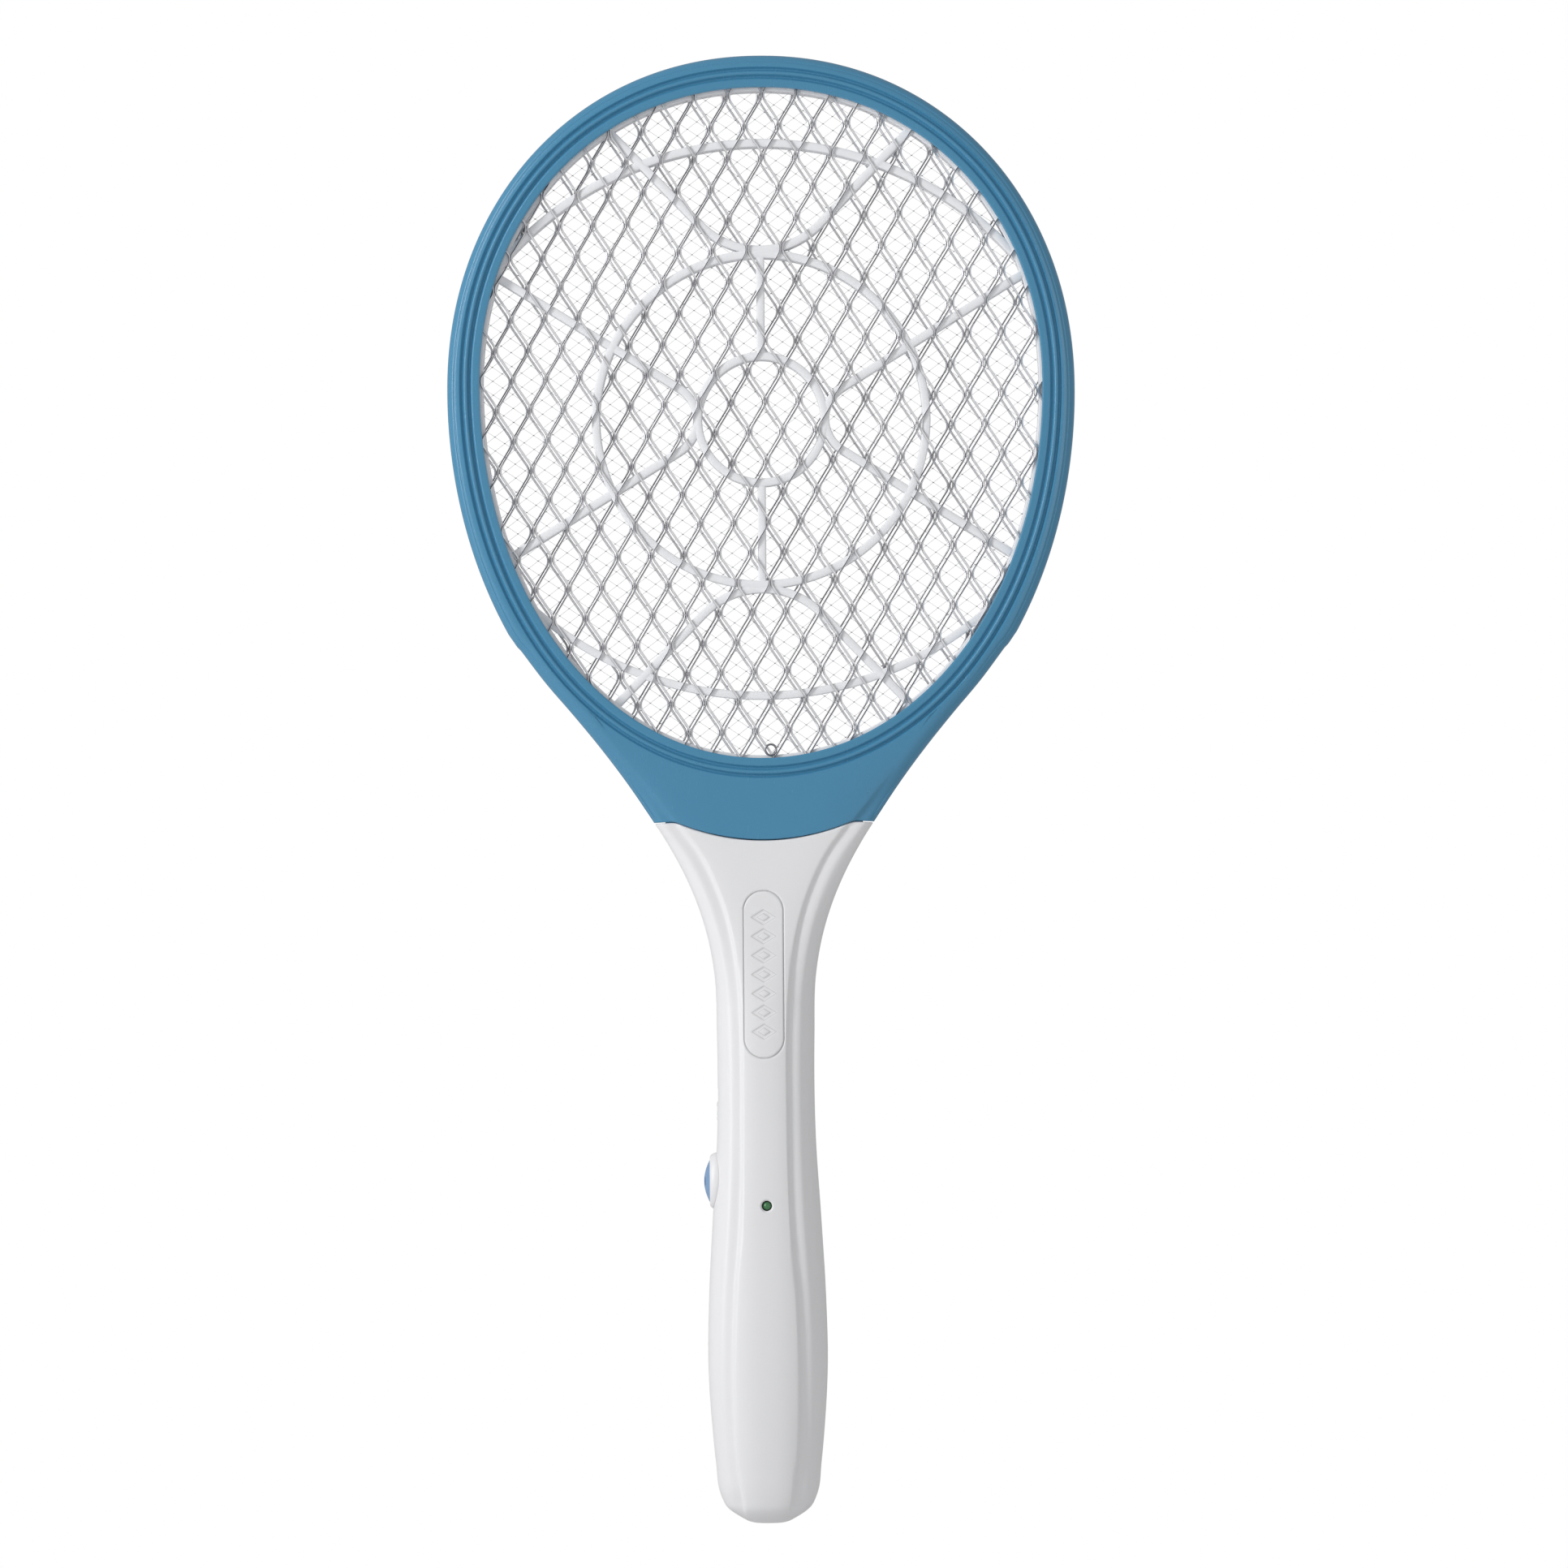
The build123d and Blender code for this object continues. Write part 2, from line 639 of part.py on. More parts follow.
def battery():
    """Rechargeable battery with two terminals."""
    cell = block(-12, 12, -8.5, 8.5, BATTERY_BOTTOM_Z, BATTERY_TOP_Z)
    cell = fillet(cell.edges() | Axis.Z, 2.0)
    for x in (-6.5, 6.5):
        cell += block(x - 1.6, x + 1.6, -0.4, 0.4, BATTERY_TOP_Z - 0.1, BATTERY_TOP_Z + 2.5)
    return cell


def lead(points, radius, bend):
    """Insulated wire along straight runs joined by arcs."""
    path = FilletPolyline(*points, radius=bend)
    return sweep(Plane(origin=path @ 0, z_dir=path % 0) * Circle(radius), path=path)


def battery_leads():
    """Two short leads from the battery to the board."""
    leads = []
    for x in (-6.5, 6.5):
        landing = BOARD_BOTTOM_Z + 1.9
        leads.append(lead([(x, 1.0, BATTERY_TOP_Z + 0.2), (x, 1.0, landing),
                           (x, BOARD_REAR_Y, landing)], 0.6, 1.6))
    return group(leads)


def guard_lead():
    """Lead from the board to the guard grids, through the tongue's passage."""
    x = LEAD_X
    return lead([(x, BOARD_REAR_Y, 162.5), (x, 0.8, 162.5), (x, 0.8, 178.0),
                 (x, -2.0, 192.0), (x, -2.0, 256.0)], 0.7, 2.0)


def hot_lead():
    """Lead from the board to the live grid."""
    x = -LEAD_X
    return lead([(x, BOARD_REAR_Y, 162.5), (x, 0.8, 162.5), (x, 0.8, 178.0),
                 (x, -1.0, 192.0), (x, -1.0, 260.0)], 0.7, 2.0)


def guard_bridge():
    """Bent strip that joins the edges of both guard grids and takes their lead."""
    rear = -GRID_FRONT_Y
    bridge = block(2.6, 5.8, -rear, rear, 261.6, 262.4)
    bridge += block(2.6, 5.8, -rear, -rear + GRID_THICKNESS, 262.3, 266)
    bridge += block(2.6, 5.8, rear - GRID_THICKNESS, rear, 262.3, 266)
    bridge += block(LEAD_X - 1.0, LEAD_X + 1.0, -3.0, -1.0, 256.0, 261.7)
    return bridge - slab(opening_outline(GRID_GROWTH), -6, 6)


def grid_eyelet():
    """Wire ring soldered to the front guard grid, just above the opening's lower edge."""
    wire = 0.35
    return Pos(2.5, GRID_FRONT_Y - wire, 268.6) * Rot(90, 0, 0) * Torus(1.9, wire)


def hot_terminal():
    """Flat tab from the live grid's ring down to its lead."""
    tab = block(-5.6, -2.8, -HOT_WIRE, HOT_WIRE, 254.0, 266.0)
    return tab - slab(opening_outline(GRID_GROWTH), -6, 6)


# ---- screws -------------------------------------------------------------------------------
def screw(x, z, head_y, head_radius, shank_radius, length):
    """Pan-head screw driven from the rear, with a cross recess."""
    body = rod_y(x, head_y, head_y + 1.5, z, head_radius)
    body += rod_y(x, head_y - length, head_y, z, shank_radius)
    body -= block(x - 0.3, x + 0.3, head_y + 0.7, head_y + 2, z - 1.2, z + 1.2)
    body -= block(x - 1.2, x + 1.2, head_y + 0.7, head_y + 2, z - 0.3, z + 0.3)
    return body


def head_screws():
    """Screws that clamp the two head frames over the grids."""
    return group([screw(x, z, 5.6, 2.0, 0.85, 9.5) for x, z in head_screw_places()])


def handle_screws():
    """Screws that close the handle."""
    return group([screw(x, z, 8.2, 2.5, 1.1, 15.0) for x, z in HANDLE_SCREWS])


def main():
    os.makedirs("parts", exist_ok=True)
    outer = handle_solid(0.0, 0.0)
    inner = handle_solid(WALL, 2.5)
    save("head_frame_front", head_frame_front())
    save("head_frame_rear", head_frame_rear())
    save("guard_grid_front", guard_grid(GRID_FRONT_Y))
    save("guard_grid_rear", guard_grid(-GRID_FRONT_Y - GRID_THICKNESS))
    save("hot_grid", hot_grid())
    save("spacer_web_front", spacer_web(WEB_FRONT_Y))
    save("spacer_web_rear", spacer_web(-WEB_REAR_Y))
    save("head_screws", head_screws())
    save("guard_bridge", guard_bridge())
    save("grid_eyelet", grid_eyelet())
    save("hot_terminal", hot_terminal())
    save("handle_shell_front", handle_shell_front(outer, inner))
    save("handle_shell_rear", handle_shell_rear(outer, inner))
    save("handle_screws", handle_screws())
    save("button_bezel", button_bezel())
    save("push_button", push_button())
    save("button_spring", button_spring())
    save("switch_plunger", switch_plunger())
    save("button_switch", button_switch())
    save("slide_switch", slide_switch())
    save("slide_knob", slide_knob())
    save("indicator_light", indicator_light())
    save("plug_carriage", plug_carriage())
    save("plug_pins", plug_pins())
    save("thumb_slider", thumb_slider())
    save("charging_contacts", charging_contacts())
    save("circuit_board", circuit_board())
    save("board_screws", board_screws())
    save("transformer_core", transformer_core())
    save("transformer_winding", transformer_winding())
    save("film_capacitor", film_capacitor())
    save("hv_capacitors", hv_capacitors())
    save("diodes", diodes())
    save("resistors", resistors())
    save("power_transistor", power_transistor())
    save("battery", battery())
    save("battery_leads", battery_leads())
    save("guard_lead", guard_lead())
    save("hot_lead", hot_lead())


main()
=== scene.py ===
# %% [markdown]
# # An electric fly swatter, surface by surface
# The real object is a racket: a blue plastic head frame in two halves clamps two expanded-metal
# guards, two plastic spacer webs and a fine live grid. A white handle in two halves holds the
# electronics. A CAD model fixes every size and every joint. Here each visible surface is worked
# out again with numpy, at the detail the eye expects, and gets a procedural finish.
#
# We load the CAD model first, because every new piece has to sit where its CAD node sits.

import bpy
import numpy as np
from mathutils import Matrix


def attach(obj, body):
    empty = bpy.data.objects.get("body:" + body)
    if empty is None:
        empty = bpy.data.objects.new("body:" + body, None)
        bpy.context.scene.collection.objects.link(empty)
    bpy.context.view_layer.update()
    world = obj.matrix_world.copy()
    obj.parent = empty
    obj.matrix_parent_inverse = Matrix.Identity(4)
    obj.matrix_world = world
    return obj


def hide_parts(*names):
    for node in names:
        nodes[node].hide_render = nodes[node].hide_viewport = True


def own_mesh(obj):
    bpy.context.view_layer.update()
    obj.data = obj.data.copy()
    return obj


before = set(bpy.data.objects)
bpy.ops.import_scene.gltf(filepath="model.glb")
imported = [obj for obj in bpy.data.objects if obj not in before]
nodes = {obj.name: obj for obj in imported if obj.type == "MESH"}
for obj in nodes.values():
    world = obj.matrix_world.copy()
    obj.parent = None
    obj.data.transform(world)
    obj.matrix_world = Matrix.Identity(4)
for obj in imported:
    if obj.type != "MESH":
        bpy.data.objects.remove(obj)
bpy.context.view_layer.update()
print("CAD nodes:", len(nodes))

# %% [markdown]
# ## Grids of points
# Nearly every plastic part is a skin that two numbers describe: how far along it, and how far
# around it. We work the skin out as one array of points, rows by columns, and join neighbours
# with quads. Modelling by hand would give the same shape, but a formula can be measured.

# %% Faces of a grid
MM = 0.001
SHARP_ANGLE = np.radians(38.0)


def grid_faces(rows, columns, close_rows=False, close_columns=False):
    """Cell (r, c) joins the points (r, c), (r, c + 1), (r + 1, c + 1) and (r + 1, c).

    Where a direction is closed, the last point joins the first one again."""
    r = np.arange(rows if close_rows else rows - 1)[:, None]
    c = np.arange(columns if close_columns else columns - 1)[None, :]
    r, c = np.broadcast_arrays(r, c)
    below = (r + 1) % rows
    right = (c + 1) % columns
    corners = [r * columns + c, r * columns + right, below * columns + right,
               below * columns + c]
    return np.stack(corners, -1).reshape(-1, 4)


def fan_faces(ring, pole, flip=False):
    """Triangles from each side of a closed ring of point numbers to one pole."""
    following = np.roll(ring, -1)
    pair = (following, ring) if flip else (ring, following)
    return np.stack([pair[0], pair[1], np.full(len(ring), pole)], -1)


def tube_faces(rows, around):
    """Rings joined into a tube and closed by a pole at each end, numbered after the rings."""
    ring = np.arange(around)
    return [grid_faces(rows, around, close_columns=True),
            fan_faces(ring, rows * around, flip=True),
            fan_faces(ring + (rows - 1) * around, rows * around + 1)]


print("a 3 by 4 grid has", len(grid_faces(3, 4)), "cells")


# %% [markdown]
# ## Which way is out
# A closed surface encloses a volume. Adding up the little pyramids from the origin to each face
# gives that volume with a sign, and a negative sign says that the faces look inwards. So we
# never have to guess: a part with a negative volume has its faces turned over.

# %% Parts, joined and turned outwards
def signed_volume(points, faces):
    """Sum over triangles (a, b, c) of a . (b x c) / 6."""
    total = 0.0
    for block in faces:
        for k in range(1, block.shape[1] - 1):
            a, b, c = points[block[:, 0]], points[block[:, k]], points[block[:, k + 1]]
            total += np.einsum("ij,ij->", a, np.cross(b, c)) / 6.0
    return total


def outward(points, faces):
    """The same part with every face turned outwards."""
    points = np.asarray(points, float).reshape(-1, 3)
    if signed_volume(points, faces) < 0.0:
        faces = [block[:, ::-1] for block in faces]
    return points, faces


def joined(parts):
    """One list of points and faces from several parts."""
    points = []
    faces = []
    start = 0
    for part_points, part_faces in parts:
        points.append(part_points)
        faces.extend([block + start for block in part_faces])
        start += len(part_points)
    return np.concatenate(points), faces


def part_mesh(name, part):
    """Blender mesh in metres from a part in millimetres, smooth except at sharp angles."""
    points, faces = part
    mesh = bpy.data.meshes.new(name)
    rows = [row for block in faces for row in block.tolist()]
    mesh.from_pydata((points * MM).tolist(), [], rows)
    mesh.polygons.foreach_set("use_smooth", np.ones(len(mesh.polygons), bool))
    mesh.set_sharp_from_angle(angle=SHARP_ANGLE)
    return mesh


def new_object(name, data):
    """New object in the scene, at the origin, for a mesh, lamp or camera."""
    made = bpy.data.objects.new(name, data)
    bpy.context.scene.collection.objects.link(made)
    return made


def piece(name, part, body, stands_for):
    """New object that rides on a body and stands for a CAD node."""
    made = new_object(name, part_mesh(name, part))
    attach(made, body)
    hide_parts(stands_for)
    print(name, "points", len(part[0]), "volume cm3",
          round(signed_volume(part[0], part[1]) / 1000.0, 2))
    return made


# %% [markdown]
# ## Smooth curves through measured points
# Widths and depths are known at a few heights only. A cubic between each pair of heights, with
# the slopes taken from the neighbours, runs through all of them without corners.

# %% Curve through knots
def through(at, knots, values):
    """Cubic Hermite curve: value = h00 y0 + h10 L m0 + h01 y1 + h11 L m1 on each span L."""
    knots = np.asarray(knots, float)
    values = np.asarray(values, float)
    slopes = np.gradient(values, knots)
    at = np.clip(at, knots[0], knots[-1])
    k = np.clip(np.searchsorted(knots, at, side="right") - 1, 0, len(knots) - 2)
    span = knots[k + 1] - knots[k]
    u = (at - knots[k]) / span
    return ((2 * u**3 - 3 * u**2 + 1) * values[k] + (u**3 - 2 * u**2 + u) * span * slopes[k]
            + (3 * u**2 - 2 * u**3) * values[k + 1] + (u**3 - u**2) * span * slopes[k + 1])


def step(low, high, at):
    """0 below low, 1 above high, and 3u^2 - 2u^3 between."""
    u = np.clip((at - low) / (high - low), 0.0, 1.0)
    return u * u * (3.0 - 2.0 * u)


def bump(middle, half, at):
    """1 at the middle, falling to 0 at half a width away as (1 - u^2)^2."""
    u = np.clip(np.abs(at - middle) / half, 0.0, 1.0)
    return (1.0 - u * u) ** 2


# Height, half width and half depth of the handle, as in the CAD sections.
SECTIONS = np.array([
    (0.0, 6.0, 6.0), (0.5, 7.6, 7.4), (1.2, 8.9, 8.6), (2.9, 11.7, 11.2), (5.5, 14.8, 13.6),
    (9.6, 16.8, 14.9), (20.9, 18.4, 16.4), (32.2, 19.5, 17.1), (55.0, 20.8, 17.5),
    (77.5, 20.4, 17.2), (105.7, 18.9, 16.2), (134.0, 17.2, 15.2), (170.0, 17.0, 14.3),
    (190.6, 17.7, 13.5), (201.9, 19.6, 12.8), (213.2, 22.8, 11.9), (224.5, 27.4, 10.8),
    (235.8, 33.4, 9.6), (247.1, 40.6, 8.9),
])
# Height and half width of the throat above the handle.
THROAT = np.array([(258.4, 48.3), (269.7, 56.8), (281.0, 66.0), (292.3, 75.6), (303.6, 84.1)])
OUTLINE_Z = np.concatenate([SECTIONS[:, 0], THROAT[:, 0]])
OUTLINE_X = np.concatenate([SECTIONS[:, 1], THROAT[:, 1]])
print("half width at the waist", round(float(through(160.0, OUTLINE_Z, OUTLINE_X)), 2), "mm")


# %% [markdown]
# ## Two ovals
# The head's opening and its outer edge are superellipses: |x/a|^n + |z/b|^n = 1. The reach b is
# longer below the middle than above it, which gives the egg shape of a racket.

# %% Ovals and their outward direction
OPENING = dict(a=97.7, up=103.2, down=129.7, n_up=2.08, n_down=2.04, z=395.5)
HEAD = dict(a=109.1, up=116.5, down=143.6, n_up=2.08, n_down=2.0, z=393.5)


def oval(t, shape, growth=0.0):
    """Point at angle t: x = a |cos|^(2/n), z = b |sin|^(2/n), moved out along the gradient."""
    c, s = np.cos(t), np.sin(t)
    n = np.where(s >= 0, shape["n_up"], shape["n_down"])
    reach = np.where(s >= 0, shape["up"], shape["down"])
    x = shape["a"] * np.sign(c) * np.abs(c) ** (2 / n)
    z = reach * np.sign(s) * np.abs(s) ** (2 / n)
    gx = np.sign(c) * np.abs(x / shape["a"]) ** (n - 1) / shape["a"]
    gz = np.sign(s) * np.abs(z / reach) ** (n - 1) / reach
    size = np.hypot(gx, gz)
    return x + growth * gx / size, shape["z"] + z + growth * gz / size


def oval_level(x, z, shape, growth=0.0):
    """Below 1 inside the oval grown by growth, above 1 outside it."""
    s = z - shape["z"]
    n = np.where(s >= 0, shape["n_up"], shape["n_down"])
    reach = np.where(s >= 0, shape["up"], shape["down"]) + growth
    return np.abs(x / (shape["a"] + growth)) ** n + np.abs(s / reach) ** n


def distance_to(x, z, line_x, line_z):
    """Shortest distance in the plane from points to a polyline, span by span."""
    flat_x, flat_z = np.ravel(x), np.ravel(z)
    ax, az = line_x[:-1], line_z[:-1]
    bx, bz = np.diff(line_x), np.diff(line_z)
    length = bx * bx + bz * bz
    best = np.full(flat_x.shape, np.inf)
    for lot in np.array_split(np.arange(len(ax)), 12):
        px = flat_x[:, None] - ax[lot]
        pz = flat_z[:, None] - az[lot]
        u = np.clip((px * bx[lot] + pz * bz[lot]) / length[lot], 0.0, 1.0)
        gap = np.hypot(px - u * bx[lot], pz - u * bz[lot]).min(1)
        best = np.minimum(best, gap)
    return best.reshape(np.shape(x))


around = np.linspace(0.0, 2.0 * np.pi, 721)
OPENING_LINE = oval(around, OPENING)
print("opening is", round(float(np.ptp(OPENING_LINE[0])), 1), "by",
      round(float(np.ptp(OPENING_LINE[1])), 1), "mm")


# %% [markdown]
# ## The seam between head and handle
# The handle's top edge is a shallow arc with a small crest on each side. Both parts follow the
# same line, less than half a millimetre apart, so they read as two mouldings that were clipped
# together and not as one.

# %% Seam and silhouette
SEAM_GAP = 0.4
LIP = 0.5
SEAM_RADIUS = 78.8
CORNER_Z = 243.45


def seam_z(x):
    """Circle arc through (0, 237.5) and (31.1, 243.9), then a gentle fall to the outer edge."""
    x = np.abs(x)
    arc = 237.5 + SEAM_RADIUS - np.sqrt(SEAM_RADIUS**2 - np.minimum(x, 60.0) ** 2)
    side = 243.9 - 0.065 * (x - 31.1)
    soft = 0.25
    return -soft * np.log(np.exp(-arc / soft + 900.0) + np.exp(-side / soft + 900.0)) \
        + 900.0 * soft


def silhouette():
    """Right-hand outline from the top of the head down to the bottom end, as a polyline."""
    t = np.radians(np.linspace(90.0, -42.0, 290))
    x, z = oval(t, HEAD)
    low = z > 306.0
    down = np.linspace(303.6, 1.2, 420)
    return (np.concatenate([x[low], through(down, OUTLINE_Z, OUTLINE_X)]),
            np.concatenate([z[low], down]))


def lip_drop(d):
    """Rounding of an edge, LIP wide: drop = LIP (1 - sqrt(1 - (1 - d / LIP)^2))."""
    u = 1.0 - np.clip(d / LIP, 0.0, 1.0)
    return LIP * (1.0 - np.sqrt(np.maximum(1.0 - u * u, 0.0)))


SIDE_X, SIDE_Z = silhouette()
print("seam middle", round(float(seam_z(0.0)), 2), "edge", round(float(seam_z(37.9)), 2))

# %% [markdown]
# ## The head frame's relief
# Seen from the front, the rim has a flat band next to the opening, then a groove, a rounded
# ridge, a second groove and a rounded outer band. All of this depends on one number, the
# distance from the opening's edge, so it is written once as a height over that distance.

# %% Height of the head over its middle plane
RIM_HEIGHT = 8.3
EDGE_RADIUS = 4.9


def rim_relief(d):
    """Grooves (negative) and ridge (positive) at distance d from the opening's edge."""
    grooves = -0.95 * bump(3.55, 1.0, d) - 0.95 * bump(6.2, 0.95, d)
    ridge = 0.35 * bump(4.88, 1.2, d)
    lip = -0.22 * bump(0.0, 0.45, d)
    return grooves + ridge + lip


def rounded_edge(d):
    """Quarter of an ellipse that falls towards the silhouette, d from it."""
    u = 1.0 - np.clip(d / EDGE_RADIUS, 0.0, 1.0)
    return -4.2 * (1.0 - np.sqrt(np.maximum(1.0 - u * u, 0.0)))


def head_height(x, z):
    """Height of the blue head over the parting plane at (x, z)."""
    inner = distance_to(x, z, *OPENING_LINE)
    outer = distance_to(np.abs(x), z, SIDE_X, SIDE_Z)
    plate = RIM_HEIGHT + rounded_edge(outer)
    plate = plate - 0.2 * bump(2.45, 0.42, outer) * step(285.0, 310.0, z)
    width = through(z, OUTLINE_Z, OUTLINE_X)
    full = np.clip(np.abs(x) / width, 0.0, 1.0)
    throat = 9.0 * (1.0 - full**4.5) ** (1.0 / 4.5)
    low = 1.0 - step(244.0, 286.0, z)
    height = plate * (1.0 - low) + throat * low
    crease_x = through(z, [236.0, 244.0, 256.1, 276.8, 290.0], [24.5, 31.1, 40.8, 54.5, 62.0])
    aside = (np.abs(x) - crease_x) * 0.78
    crease = -0.75 * step(-0.5, 1.0, aside) * (1.0 - step(1.0, 5.5, aside))
    crease = crease * (1.0 - step(245.0, 264.0, z))
    seam = lip_drop(np.maximum(z - seam_z(x), 0.0)) * (z < 260.0)
    return np.maximum(height + rim_relief(inner) + crease - seam, 3.9)


ridge_height = head_height(np.array([0.0]), np.array([503.4]))[0]
print("rim height at the ridge", round(float(ridge_height), 2))


# %% [markdown]
# ## Laying the head's grid
# One direction of the grid runs round the head. The other runs like a section through the
# moulding: up the lip at the opening, over the ridges, down the outer side and back along the
# hidden inside. Because both directions close on themselves, the frame is one watertight ring.

# %% Directions round the head
def head_angles():
    """Angles from the top, down the right side to the bottom, closer together at the throat."""
    knots = np.radians([90.0, -48.0, -82.0, -90.0])
    counts = [150, 104, 14]
    spans = [np.linspace(a, b, n, endpoint=False) for a, b, n in zip(knots, knots[1:], counts)]
    right = np.concatenate(spans + [knots[-1:]])
    left = (np.pi - right)[1:-1][::-1]
    return np.concatenate([right, left])


def outer_loop(t):
    """Point of the outer edge that belongs to each angle, seam included."""
    corner = through(CORNER_Z, OUTLINE_Z, OUTLINE_X)
    side = SIDE_Z > CORNER_Z
    seam_x = np.linspace(float(corner), 0.0, 120)
    x = np.concatenate([SIDE_X[side], seam_x])
    z = np.concatenate([SIDE_Z[side], seam_z(seam_x)])
    run = np.concatenate([[0.0], np.cumsum(np.hypot(np.diff(x), np.diff(z)))])
    at_corner = run[side.sum()]
    fine = np.linspace(0.0, run[-1], 4000)
    x, z, run = np.interp(fine, run, x), np.interp(fine, run, z), fine
    right = np.where(np.cos(t) >= -1e-9, t, np.pi - t)
    right = np.where(right > np.pi, right - 2 * np.pi, right)
    ix, iz = oval(right, OPENING)
    near = np.hypot(ix[:, None] - x, iz[:, None] - z).argmin(1)
    free = run[near]
    start = np.radians(-42.0)
    turn = np.radians(-66.0)
    start_run = run[np.hypot(oval(start, OPENING)[0] - x, oval(start, OPENING)[1] - z).argmin()]
    forced = np.interp(-right, [-start, -turn, np.pi / 2], [start_run, at_corner, run[-1]])
    along = np.where(right > start, free, forced)
    side_sign = np.where(np.cos(t) >= -1e-9, 1.0, -1.0)
    return side_sign * np.interp(along, run, x), np.interp(along, run, z)


HEAD_T = head_angles()
OUT_X, OUT_Z = outer_loop(HEAD_T)
IN_X, IN_Z = oval(HEAD_T, OPENING)
ACROSS = np.hypot(OUT_X - IN_X, OUT_Z - IN_Z)
OUT_NX, OUT_NZ = (OUT_X - IN_X) / ACROSS, (OUT_Z - IN_Z) / ACROSS
print("columns round the head", len(HEAD_T))


# %% Rows over the moulding
def head_rows():
    """Plan position of every row: offsets of the opening, a blend, then insets of the edge."""
    near = [0.0, 0.12, 0.3, 0.55, 0.9, 1.5, 2.1, 2.5, 2.7, 2.88, 3.06, 3.24, 3.42, 3.55, 3.68,
            3.86, 4.04, 4.22, 4.4, 4.6, 4.88, 5.15, 5.33, 5.5, 5.68, 5.86, 6.04, 6.2, 6.36, 6.54,
            6.72, 6.9, 7.08, 7.25]
    far = [8.6, 7.6, 7.0, 6.6, 6.25, 5.9, 5.55, 5.2, 4.8, 4.35, 3.9, 3.4, 3.0, 2.85, 2.72, 2.58,
           2.45, 2.32, 2.18, 2.05, 1.8, 1.5, 1.1, 0.75, 0.5, 0.35, 0.22, 0.12, 0.05, 0.0]
    ix, iz = oval(HEAD_T, OPENING, near[-1])
    room = np.hypot(OUT_X - ix, OUT_Z - iz)
    squeeze = np.clip((room - 4.6) / 8.0, 0.02, 1.0)
    rows = [oval(HEAD_T, OPENING, d) for d in near]
    inner_edge = rows[-1]
    insets = [np.where(d > 3.9, 3.9 + (d - 3.9) * squeeze, d) for d in far]
    first = (OUT_X - insets[0] * OUT_NX, OUT_Z - insets[0] * OUT_NZ)
    for share in np.linspace(0.0, 1.0, 16)[1:-1]:
        rows.append((inner_edge[0] * (1 - share) + first[0] * share,
                     inner_edge[1] * (1 - share) + first[1] * share))
    for inset in insets:
        rows.append((OUT_X - inset * OUT_NX, OUT_Z - inset * OUT_NZ))
    return np.array([r[0] for r in rows]), np.array([r[1] for r in rows])


PLAN_X, PLAN_Z = head_rows()
PLAN_H = head_height(PLAN_X, PLAN_Z)
print("head skin rows", PLAN_X.shape[0], "height", round(float(PLAN_H.min()), 2), "to",
      round(float(PLAN_H.max()), 2), "mm")


# %% Head frame halves
def hidden_row(growth, inset, height, share):
    """A row of the hidden side: between an offset of the opening and an inset of the edge."""
    ix, iz = oval(HEAD_T, OPENING, growth)
    ox, oz = OUT_X - inset * OUT_NX, OUT_Z - inset * OUT_NZ
    x, z = ix * (1 - share) + ox * share, iz * (1 - share) + oz * share
    return x, z, np.full(x.shape, height)


def frame_half(side):
    """Closed moulding of one half of the head; side is -1 for the front and +1 for the rear."""
    rows = [hidden_row(3.0, 0.0, 4.95, 0.0), hidden_row(0.3, 0.0, 4.95, 0.0),
            hidden_row(0.05, 0.0, 5.15, 0.0)]
    rows += [(PLAN_X[k], PLAN_Z[k], PLAN_H[k]) for k in range(len(PLAN_X))]
    rows += [hidden_row(0.0, 0.0, h, 1.0) for h in (3.0, 1.6, 0.55, 0.35)]
    rows += [hidden_row(0.0, 0.18, 0.06, 1.0), hidden_row(0.0, 2.0, 0.06, 1.0),
             hidden_row(0.0, 2.1, 5.9, 1.0), hidden_row(5.0, 0.0, 5.9, 0.0),
             hidden_row(5.0, 0.0, 0.06, 0.0), hidden_row(3.0, 0.0, 0.06, 0.0)]
    x, z, h = [np.array([row[k] for row in rows]) for k in range(3)]
    points = np.stack([x, side * h, z], -1)
    return outward(points, [grid_faces(*x.shape, close_rows=True, close_columns=True)])


def rounded_block(x0, x1, y0, y1, z0, z1, power=8.0, around=40, along=20):
    """Superquadric box: cos or sin to the power 2/power, times half the size each way."""
    u = np.linspace(-np.pi / 2, np.pi / 2, along)[1:-1, None]
    v = np.linspace(0.0, 2 * np.pi, around, endpoint=False)[None, :]
    bend = lambda value: np.sign(value) * np.abs(value) ** (2.0 / power)
    x = bend(np.cos(u)) * bend(np.cos(v))
    y = bend(np.cos(u)) * bend(np.sin(v))
    z = bend(np.sin(u)) * np.ones_like(v)
    half = np.array([x1 - x0, y1 - y0, z1 - z0]) / 2
    middle = np.array([x1 + x0, y1 + y0, z1 + z0]) / 2
    points = np.stack([x, y, z], -1).reshape(-1, 3)
    points = np.concatenate([points, [[0, 0, -1], [0, 0, 1]]]) * half + middle
    return outward(points, tube_faces(along - 2, around))


def tongues(side):
    """Flat tongues behind the seam: the lowest is screwed to the handle, all close the gap."""
    y = (-5.8, -0.1) if side < 0 else (0.1, 5.8)
    return [rounded_block(-17, 17, y[0], y[1], 214.0, 246.0, power=14.0),
            rounded_block(-28, 28, y[0] + 0.1, y[1] - 0.1, 237.8, 246.6, power=14.0),
            rounded_block(-34.4, 34.4, y[0] + 0.2, y[1] - 0.2, 241.6, 247.2, power=14.0)]


front_frame = frame_half(-1)
rear_frame = frame_half(1)
print("front frame points", len(front_frame[0]))


